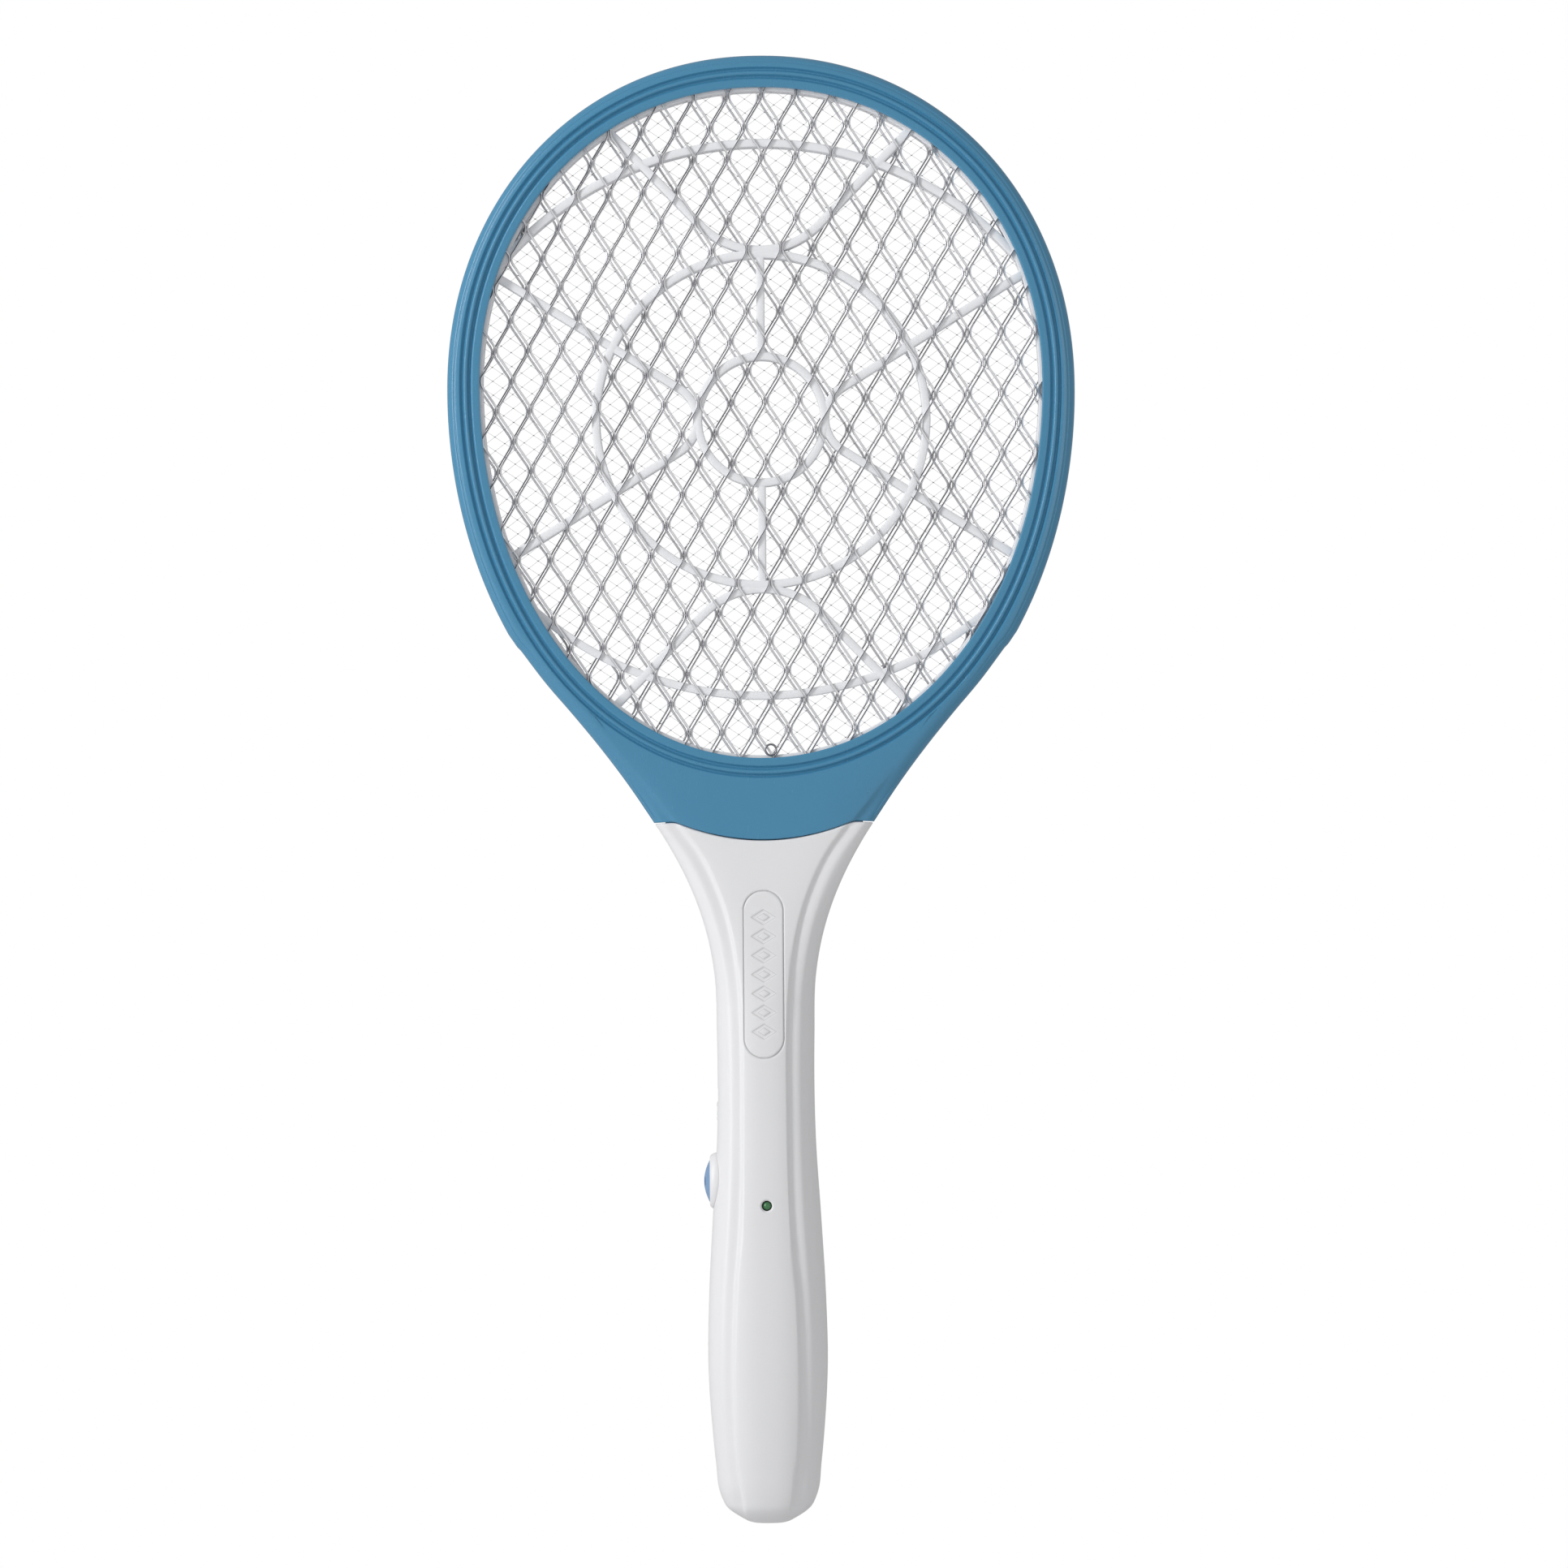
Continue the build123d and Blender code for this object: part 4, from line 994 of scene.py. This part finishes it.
def button_part():
    """Domed cap, flange and post; the dome is a parabola, x = tip + 2.1 (r / 7.6)^2."""
    u = np.linspace(0.0, 1.0, 16)
    dome_r = 7.6 * u
    dome_x = -21.8 + 2.1 * u**2
    x = np.concatenate([dome_x[1:], [-18.6, -16.4, -16.0, -16.0, -14.9, -14.9, -14.6, -9.4, -9.2]])
    r = np.concatenate([dome_r[1:], [7.6, 7.6, 7.7, 8.7, 8.7, 2.2, 1.6, 1.6, 1.3]])
    v = np.linspace(0.0, 2 * np.pi, 96, endpoint=False)
    across = np.minimum(r, r * 0.70 + 0.1)
    across = np.where(r < 3.0, r, across)
    grid = np.stack([x[:, None] * np.ones_like(v), across[:, None] * np.sin(v),
                     BUTTON_Z + r[:, None] * np.cos(v)], -1)
    poles = [[-21.8, 0.0, BUTTON_Z], [-9.2, 0.0, BUTTON_Z]]
    return outward(np.concatenate([grid.reshape(-1, 3), poles]), tube_faces(len(x), 96))


button = piece("button", button_part(), "button", "push_button")


# %% [markdown]
# ## Return spring
# On the real switch the coil behind the button gets shorter as the button goes in. Here it sits
# between the plunger's end and the switch, rides on the plunger and moves with it.

# %% Return spring
SPRING_LOW, SPRING_HIGH = -8.4, -4.6
SPRING_WIRE = 0.2


def coil(radius=2.2, turns=3.6, samples=150, around=8):
    """Round wire along the helix (x, r cos t, r sin t), where x grows evenly with t."""
    t = np.linspace(0.0, 2 * np.pi * turns, samples)[:, None, None]
    v = np.linspace(0.0, 2 * np.pi, around, endpoint=False)[None, :, None]
    x = np.linspace(SPRING_LOW + SPRING_WIRE, SPRING_HIGH - SPRING_WIRE, samples)[:, None, None]
    r = radius + SPRING_WIRE * np.cos(v)
    grid = np.concatenate([x + SPRING_WIRE * np.sin(v), r * np.cos(t), r * np.sin(t)], -1)
    ends = grid[[0, -1]].mean(axis=1)
    points = np.concatenate([grid.reshape(-1, 3), ends]) + [0.0, 0.0, BUTTON_Z]
    return outward(points, tube_faces(samples, around))


spring = piece("return_coil", coil(), "plunger", "button_spring")
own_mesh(spring)


# %% [markdown]
# ## Ribbed finger pads
# The slide switch and the plug's slider have cross ribs for a fingertip. A wave along z on the
# outer face of a soft-edged block gives them. Behind the slide knob a thin strip moves along
# with it and keeps the window closed.

# %% Slide knob and thumb pad
def ribbed_block(corner_low, corner_high, face, pitch, depth, count):
    """Superquadric block whose face, one of 'x-' or 'y+', carries cosine ribs across z."""
    points, faces = rounded_block(corner_low[0], corner_high[0], corner_low[1], corner_high[1],
                                  corner_low[2], corner_high[2], power=9.0, around=72, along=92)
    middle = (corner_low[2] + corner_high[2]) / 2
    z = points[:, 2] - middle
    wave = 0.5 - 0.5 * np.cos(2 * np.pi * z / pitch)
    wave = wave * step(0.0, 0.4, count * pitch / 2 - np.abs(z))
    axis = 0 if face == "x-" else 1
    edge = corner_low[0] if face == "x-" else corner_high[1]
    size = corner_high[axis] - corner_low[axis]
    near = step(0.55, 0.98, 1.0 - np.abs(points[:, axis] - edge) / size)
    points[:, axis] += (depth if face == "x-" else -depth) * wave * near
    return outward(points, faces)


knob_z = SLIDE_Z - 2.0
knob = piece("slide_cap", joined([
    ribbed_block((-17.3, -2.3, knob_z - 3.2), (-14.3, 2.3, knob_z + 3.2), "x-", 1.1, 0.35, 5),
    rounded_block(-14.6, -14.2, -2.6, 2.6, knob_z - 8.9, knob_z + 9.1, power=14.0),
    rounded_block(-14.5, -12.0, -1.2, 1.2, knob_z - 2.2, knob_z + 2.2)]),
    "knob", "slide_knob")
pad = piece("thumb_pad", ribbed_block((-5.0, 13.9, 26.6), (5.0, 16.3, 39.4), "y+", 2.0, 0.8, 6),
            "plug", "thumb_slider")


# %% [markdown]
# ## Finishes
# A moulded plastic is never one flat colour: its surface is finely grained by the tool, and a
# hand leaves duller and glossier patches. The badge's groove and the edges of its lozenges get
# painted shade. Several materials need the same effects, so each effect is one node group with
# named inputs and outputs.

# %% Colours and a small node helper
def colour(red, green, blue):
    """Linear colour of an 8-bit screen colour: ((v/255 + 0.055) / 1.055) ^ 2.4."""
    v = np.array([red, green, blue]) / 255.0
    linear = np.where(v > 0.04045, ((v + 0.055) / 1.055) ** 2.4, v / 12.92)
    return (*[float(part) for part in linear], 1.0)


def node(tree, kind, links=None, **settings):
    """New node; settings are its properties, links its inputs as values or output sockets."""
    made = tree.nodes.new(kind)
    for name, value in settings.items():
        setattr(made, name, value)
    for name, value in (links or {}).items():
        if isinstance(value, bpy.types.NodeSocket):
            tree.links.new(value, made.inputs[name])
        else:
            made.inputs[name].default_value = value
    return made


def maths(tree, operation, *values):
    """Output of a Math node; its values are numbers or output sockets."""
    return node(tree, "ShaderNodeMath", dict(enumerate(values)), operation=operation).outputs[0]


def new_group(name, inputs, outputs):
    """Empty shader group with float or colour sockets."""
    tree = bpy.data.node_groups.new(name, "ShaderNodeTree")
    for label, kind, value in inputs:
        socket = tree.interface.new_socket(label, in_out="INPUT", socket_type=kind)
        socket.default_value = value
    for label, kind in outputs:
        tree.interface.new_socket(label, in_out="OUTPUT", socket_type=kind)
    return tree, tree.nodes.new("NodeGroupInput"), tree.nodes.new("NodeGroupOutput")


# %% Moulded grain and handling
FLOAT, COLOUR, VECTOR = "NodeSocketFloat", "NodeSocketColor", "NodeSocketVector"


def grain_group():
    """Moulded grain: a fine noise as height, a broad noise that mottles the colour, and Shade,
    which darkens it as painted shade.
    """
    tree, inside, outside = new_group(
        "moulded grain",
        [("Colour", COLOUR, (0.8, 0.8, 0.8, 1)), ("Grain per metre", FLOAT, 1800.0),
         ("Mottle", FLOAT, 0.04), ("Shade", FLOAT, 0.0)],
        [("Colour", COLOUR), ("Height", FLOAT)])
    place = node(tree, "ShaderNodeTexCoord").outputs["Object"]
    fine = node(tree, "ShaderNodeTexNoise",
                {"Vector": place, "Scale": inside.outputs["Grain per metre"], "Detail": 2.0,
                 "Roughness": 0.6})
    broad = node(tree, "ShaderNodeTexNoise", {"Vector": place, "Scale": 26.0, "Detail": 3.0})
    centred = maths(tree, "SUBTRACT", broad.outputs["Fac"], 0.5)
    amount = maths(tree, "MULTIPLY", centred, inside.outputs["Mottle"])
    lift = maths(tree, "ADD", amount, 1.0)
    shaded = maths(tree, "SUBTRACT", lift, inside.outputs["Shade"])
    shade = node(tree, "ShaderNodeVectorMath",
                 {0: inside.outputs["Colour"], "Scale": shaded}, operation="SCALE")
    tree.links.new(shade.outputs[0], outside.inputs["Colour"])
    tree.links.new(fine.outputs["Fac"], outside.inputs["Height"])
    return tree


def handling_group():
    """Handling: roughness that drifts between glossier and duller patches, with fine streaks."""
    tree, inside, outside = new_group(
        "handling", [("Roughness", FLOAT, 0.35), ("Spread", FLOAT, 0.08)],
        [("Roughness", FLOAT)])
    place = node(tree, "ShaderNodeTexCoord").outputs["Object"]
    patches = node(tree, "ShaderNodeTexNoise", {"Vector": place, "Scale": 45.0, "Detail": 4.0})
    squeezed = node(tree, "ShaderNodeMapping", {"Vector": place, "Scale": (9.0, 9.0, 1.2)})
    streaks = node(tree, "ShaderNodeTexNoise",
                   {"Vector": squeezed.outputs[0], "Scale": 70.0, "Detail": 2.0})
    both = maths(tree, "ADD", patches.outputs["Fac"], streaks.outputs["Fac"])
    centred = maths(tree, "SUBTRACT", both, 1.0)
    spread = maths(tree, "MULTIPLY_ADD", centred, inside.outputs["Spread"],
                   inside.outputs["Roughness"])
    tree.links.new(spread, outside.inputs["Roughness"])
    return tree


def falloff(tree, value, middle, inner, outer):
    """1 where value is within inner of middle, 0 beyond outer, a smooth step between."""
    size = maths(tree, "ABSOLUTE", maths(tree, "SUBTRACT", value, middle))
    fade = node(tree, "ShaderNodeMapRange",
                {"Value": size, "From Min": inner, "From Max": outer, "To Min": 1.0,
                 "To Max": 0.0}, interpolation_type="SMOOTHSTEP")
    return fade.outputs[0]


def badge_shade_group():
    """Painted shade in the badge: its groove, and the edges of its lozenges, on the front only.

    Capsule distance = |(x, h - clamp(h, -l, l))| - r, with h the height over its middle."""
    tree, inside, outside = new_group("badge painted shade", [("Strength", FLOAT, 0.3)],
                                      [("Shade", FLOAT)])
    math = lambda kind, *values: maths(tree, kind, *values)
    place = node(tree, "ShaderNodeTexCoord").outputs["Object"]
    x, y, z = node(tree, "ShaderNodeSeparateXYZ", {"Vector": place}).outputs
    x = math("SUBTRACT", x, BADGE_X * MM)
    h = math("SUBTRACT", z, BADGE_MIDDLE * MM)
    length = (BADGE_HALF_LENGTH - BADGE_HALF_WIDTH) * MM
    along = math("MAXIMUM", math("MINIMUM", h, length), -length)
    beyond = math("SUBTRACT", h, along)
    square = math("ADD", math("MULTIPLY", x, x), math("MULTIPLY", beyond, beyond))
    edge = math("SUBTRACT", math("SQRT", square), BADGE_HALF_WIDTH * MM)
    groove = falloff(tree, edge, -0.4 * MM, 0.08 * MM, 0.36 * MM)
    turns = math("ROUND", math("DIVIDE", h, MARK_PITCH * MM))
    nearest = math("MAXIMUM", math("MINIMUM", turns, 3.0), -3.0)
    rest = math("ABSOLUTE", math("SUBTRACT", h, math("MULTIPLY", nearest, MARK_PITCH * MM)))
    level = math("ADD", math("DIVIDE", math("ABSOLUTE", x), MARK_HALF_X * MM),
                 math("DIVIDE", rest, MARK_HALF_Z * MM))
    rings = math("ADD", falloff(tree, level, 0.97, 0.01, 0.1),
                 falloff(tree, level, 0.48, 0.01, 0.1))
    both = math("MAXIMUM", groove, math("MULTIPLY", rings, 0.75))
    front = math("LESS_THAN", y, 0.0)
    shade = math("MULTIPLY", math("MULTIPLY", both, front), inside.outputs["Strength"])
    tree.links.new(shade, outside.inputs["Shade"])
    return tree


GRAIN = grain_group()
HANDLING = handling_group()
BADGE_SHADE = badge_shade_group()
print("groups:", [g.name for g in bpy.data.node_groups])


# %% [markdown]
# The Principled shader stays in each material, where its plain numbers can be read. Only the
# colour, the roughness and the bump's height come from the groups.

# %% Plastic and metal materials
def new_material(name):
    """New material with its node tree and its Principled shader."""
    material = bpy.data.materials.new(name)
    material.use_nodes = True
    return material, material.node_tree, material.node_tree.nodes["Principled BSDF"]


def plastic(name, rgb, roughness, grain=1800.0, depth=0.02, mottle=0.04, spread=0.08,
            **settings):
    """Moulded plastic, or metal where Metallic is set: grained, mottled and handled."""
    material, tree, shader = new_material(name)
    base = node(tree, "ShaderNodeGroup", node_tree=GRAIN)
    for label, value in (("Colour", colour(*rgb)), ("Grain per metre", grain),
                         ("Mottle", mottle)):
        base.inputs[label].default_value = value
    rough = node(tree, "ShaderNodeGroup", node_tree=HANDLING)
    rough.inputs["Roughness"].default_value = roughness
    rough.inputs["Spread"].default_value = spread
    relief = node(tree, "ShaderNodeBump", {"Height": base.outputs["Height"], "Strength": depth,
                                           "Distance": 0.0005})
    tree.links.new(base.outputs["Colour"], shader.inputs["Base Color"])
    tree.links.new(rough.outputs["Roughness"], shader.inputs["Roughness"])
    tree.links.new(relief.outputs["Normal"], shader.inputs["Normal"])
    for label, value in settings.items():
        shader.inputs[label.replace("_", " ")].default_value = value
    return material


def shaded_by(material, source, socket):
    """Feed the grain group's Shade or Colour input from a node of the same material."""
    tree = material.node_tree
    grain = next(n for n in tree.nodes if n.type == "GROUP" and n.node_tree == GRAIN)
    tree.links.new(source.outputs[0], grain.inputs[socket])


def strand_painted_light(material, flat, painted_side_shade):
    """Colour ramp over the painted number: flat faces get the first colour, a painted highlight,
    and the strand sides get the second, a painted shade.
    """
    painted = node(material.node_tree, "ShaderNodeAttribute", attribute_name="painted_side_shade")
    ramp = node(material.node_tree, "ShaderNodeValToRGB", {"Fac": painted.outputs["Fac"]})
    ramp.color_ramp.elements[0].color = colour(*flat)
    ramp.color_ramp.elements[1].color = colour(*painted_side_shade)
    shaded_by(material, ramp, "Colour")


blue = plastic("blue moulding", (72, 139, 176), 0.26, depth=0.03, Specular_IOR_Level=0.65)
white = plastic("white moulding", (236, 236, 238), 0.38, depth=0.02, mottle=0.02)
# The badge's groove and lozenge edges get painted shade: the white is darkened there.
shaded_by(white, node(white.node_tree, "ShaderNodeGroup", node_tree=BADGE_SHADE), "Shade")
web_white = plastic("web moulding", (242, 243, 246), 0.55, depth=0.03, mottle=0.02)
button_blue = plastic("button moulding", (126, 160, 198), 0.36, depth=0.02)
dark = plastic("dark moulding", (62, 64, 70), 0.45, depth=0.06)
strand = plastic("strand steel", (205, 205, 210), 0.34, grain=5200.0, depth=0.1, mottle=0.25,
                 spread=0.15, Metallic=0.45)
# Near-white painted highlight on the strands' flat faces and dark painted shade on their sides, in
# place of the steel's own colour.
strand_painted_light(strand, (240, 240, 243), (58, 58, 66))
steel = plastic("plain steel", (150, 151, 156), 0.3, grain=5200.0, depth=0.12, mottle=0.35,
                spread=0.2, Metallic=1.0)
wire_steel = plastic("live wire", (172, 172, 178), 0.4, grain=5200.0, depth=0.05, mottle=0.2,
                     Metallic=0.3)
screw_steel = plastic("screw steel", (140, 141, 146), 0.32, grain=3800.0, depth=0.12,
                      mottle=0.25, spread=0.2, Metallic=1.0)
nickel = plastic("pin nickel", (196, 194, 188), 0.22, grain=3000.0, depth=0.05, mottle=0.1,
                 Metallic=1.0)
brass = plastic("contact brass", (201, 164, 92), 0.3, grain=3000.0, depth=0.08, mottle=0.2,
                Metallic=1.0)
green = plastic("green lens", (58, 122, 72), 0.12, grain=600.0, depth=0.0, mottle=0.1,
                Coat_Weight=0.6)
laminate = plastic("board laminate", (38, 104, 62), 0.4, grain=900.0, depth=0.15, mottle=0.3)
ferrite = plastic("ferrite", (52, 50, 52), 0.7, grain=2400.0, depth=0.3, mottle=0.2)
tape = plastic("winding tape", (214, 176, 60), 0.35, grain=700.0, depth=0.1, mottle=0.15)
red_film = plastic("red capacitor", (150, 40, 34), 0.3, grain=900.0, depth=0.05)
blue_disc = plastic("blue capacitor", (40, 84, 160), 0.4, grain=900.0, depth=0.1)
black = plastic("diode black", (30, 30, 32), 0.35, grain=1500.0, depth=0.1)
tan = plastic("resistor body", (206, 178, 132), 0.4, grain=1500.0, depth=0.1)
cell = plastic("battery case", (216, 214, 204), 0.5, grain=900.0, depth=0.1, mottle=0.08)
lead_red = plastic("red lead", (176, 34, 30), 0.45, grain=1200.0, depth=0.08)
lead_black = plastic("black lead", (34, 34, 36), 0.45, grain=1200.0, depth=0.08)


# %% Assign the finishes
def finish(thing, material):
    """Give every material slot of an object one material."""
    if not thing.data.materials:
        thing.data.materials.append(material)
    for k in range(len(thing.data.materials)):
        thing.data.materials[k] = material


MADE = [
    (blue, [head_front, head_rear]), (white, [shell_front, shell_rear, collar, knob]),
    (web_white, [web_front, web_rear]), (strand, [guard_front, guard_rear]),
    (wire_steel, [live_grid]), (button_blue, [button]), (dark, [pad]), (screw_steel, [spring]),
]
for material, things in MADE:
    for thing in things:
        finish(thing, material)

KEPT = {
    "head_screws": screw_steel, "handle_screws": screw_steel, "board_screws": screw_steel,
    "guard_bridge": steel, "grid_eyelet": steel, "hot_terminal": brass,
    "switch_plunger": dark, "button_switch": black, "slide_switch": black,
    "indicator_light": green, "plug_carriage": dark,
    "plug_pins": nickel, "charging_contacts": brass, "circuit_board": laminate,
    "transformer_core": ferrite, "transformer_winding": tape, "film_capacitor": red_film,
    "hv_capacitors": blue_disc, "diodes": black, "resistors": tan,
    "power_transistor": black, "battery": cell, "battery_leads": lead_red,
    "guard_lead": lead_black, "hot_lead": lead_red,
}
for name, material in KEPT.items():
    finish(nodes[name], material)
print("CAD nodes kept with a finish:", len(KEPT))


# %% [markdown]
# ## Studio
# The object hangs upright just above a pale floor, high enough for the charging pins to slide
# out below it. Two soft lamps light it, one strong on the left and one weak on the right. A long
# lens, level with its middle, keeps its proportions true.

# %% Floor, world and lamps
FLOOR_Z = -18.0


def floor():
    """Large flat sheet below the object that looks evenly lit to the camera."""
    corners = [[x, y, FLOOR_Z] for x, y in ((-3e3, -3e3), (3e3, -3e3), (3e3, 3e3), (-3e3, 3e3))]
    part = (np.array(corners), [np.array([[0, 1, 2, 3]])])
    sheet = new_object("floor", part_mesh("floor", part))
    material, tree, shader = new_material("pale floor")
    shader.inputs["Base Color"].default_value = (0.8, 0.8, 0.8, 1)
    shader.inputs["Roughness"].default_value = 0.9
    glow = node(tree, "ShaderNodeEmission", {"Color": (1, 1, 1, 1), "Strength": 1.0})
    path = node(tree, "ShaderNodeLightPath")
    mix = node(tree, "ShaderNodeMixShader", {0: path.outputs["Is Camera Ray"],
                                             1: shader.outputs[0], 2: glow.outputs[0]})
    tree.links.new(mix.outputs[0], tree.nodes["Material Output"].inputs["Surface"])
    sheet.data.materials.append(material)


def white_world(ambient):
    """World that is white to the camera and a soft grey light to everything else."""
    world = bpy.data.worlds.new("studio")
    world.use_nodes = True
    tree = world.node_tree
    tree.nodes.clear()
    path = node(tree, "ShaderNodeLightPath")
    seen = node(tree, "ShaderNodeBackground", {"Color": (1, 1, 1, 1), "Strength": 1.0})
    light = node(tree, "ShaderNodeBackground", {"Color": (1, 1, 1, 1), "Strength": ambient})
    mix = node(tree, "ShaderNodeMixShader", {0: path.outputs["Is Camera Ray"],
                                             1: light.outputs[0], 2: seen.outputs[0]})
    out = node(tree, "ShaderNodeOutputWorld")
    tree.links.new(mix.outputs[0], out.inputs["Surface"])
    bpy.context.scene.world = world


def lamp(name, place, target, wide, tall, watts):
    """Rectangular area lamp that looks at a target."""
    data = bpy.data.lights.new(name, "AREA")
    data.shape = "RECTANGLE"
    data.size = wide
    data.size_y = tall
    data.energy = watts
    made = new_object(name, data)
    made.location = place
    away = np.array(target) - np.array(place)
    made.rotation_euler = (float(np.arctan2(np.hypot(away[0], away[1]), -away[2])), 0.0,
                           float(np.arctan2(-away[0], away[1])))


floor()
white_world(0.45)
lamp("key", (-1.8, -1.15, 0.95), (0.0, 0.0, 0.25), 0.35, 1.8, 30.0)
lamp("fill", (1.4, -1.8, 0.5), (0.0, 0.0, 0.25), 1.2, 1.2, 4.0)


# %% Camera
def camera():
    """Level long lens; the frame is 546.2 mm wide where the object hangs."""
    distance = 2.2
    data = bpy.data.cameras.new("camera")
    data.sensor_fit = "HORIZONTAL"
    data.angle = 2.0 * float(np.arctan(0.2731 / distance))
    made = new_object("camera", data)
    made.location = (0.007, -distance, 0.2567)
    made.rotation_euler = (np.pi / 2, float(np.radians(0.42)), 0.0)
    bpy.context.scene.camera = made
    print("lens", round(data.lens, 1), "mm")


camera()
bpy.context.scene.view_settings.view_transform = "Standard"
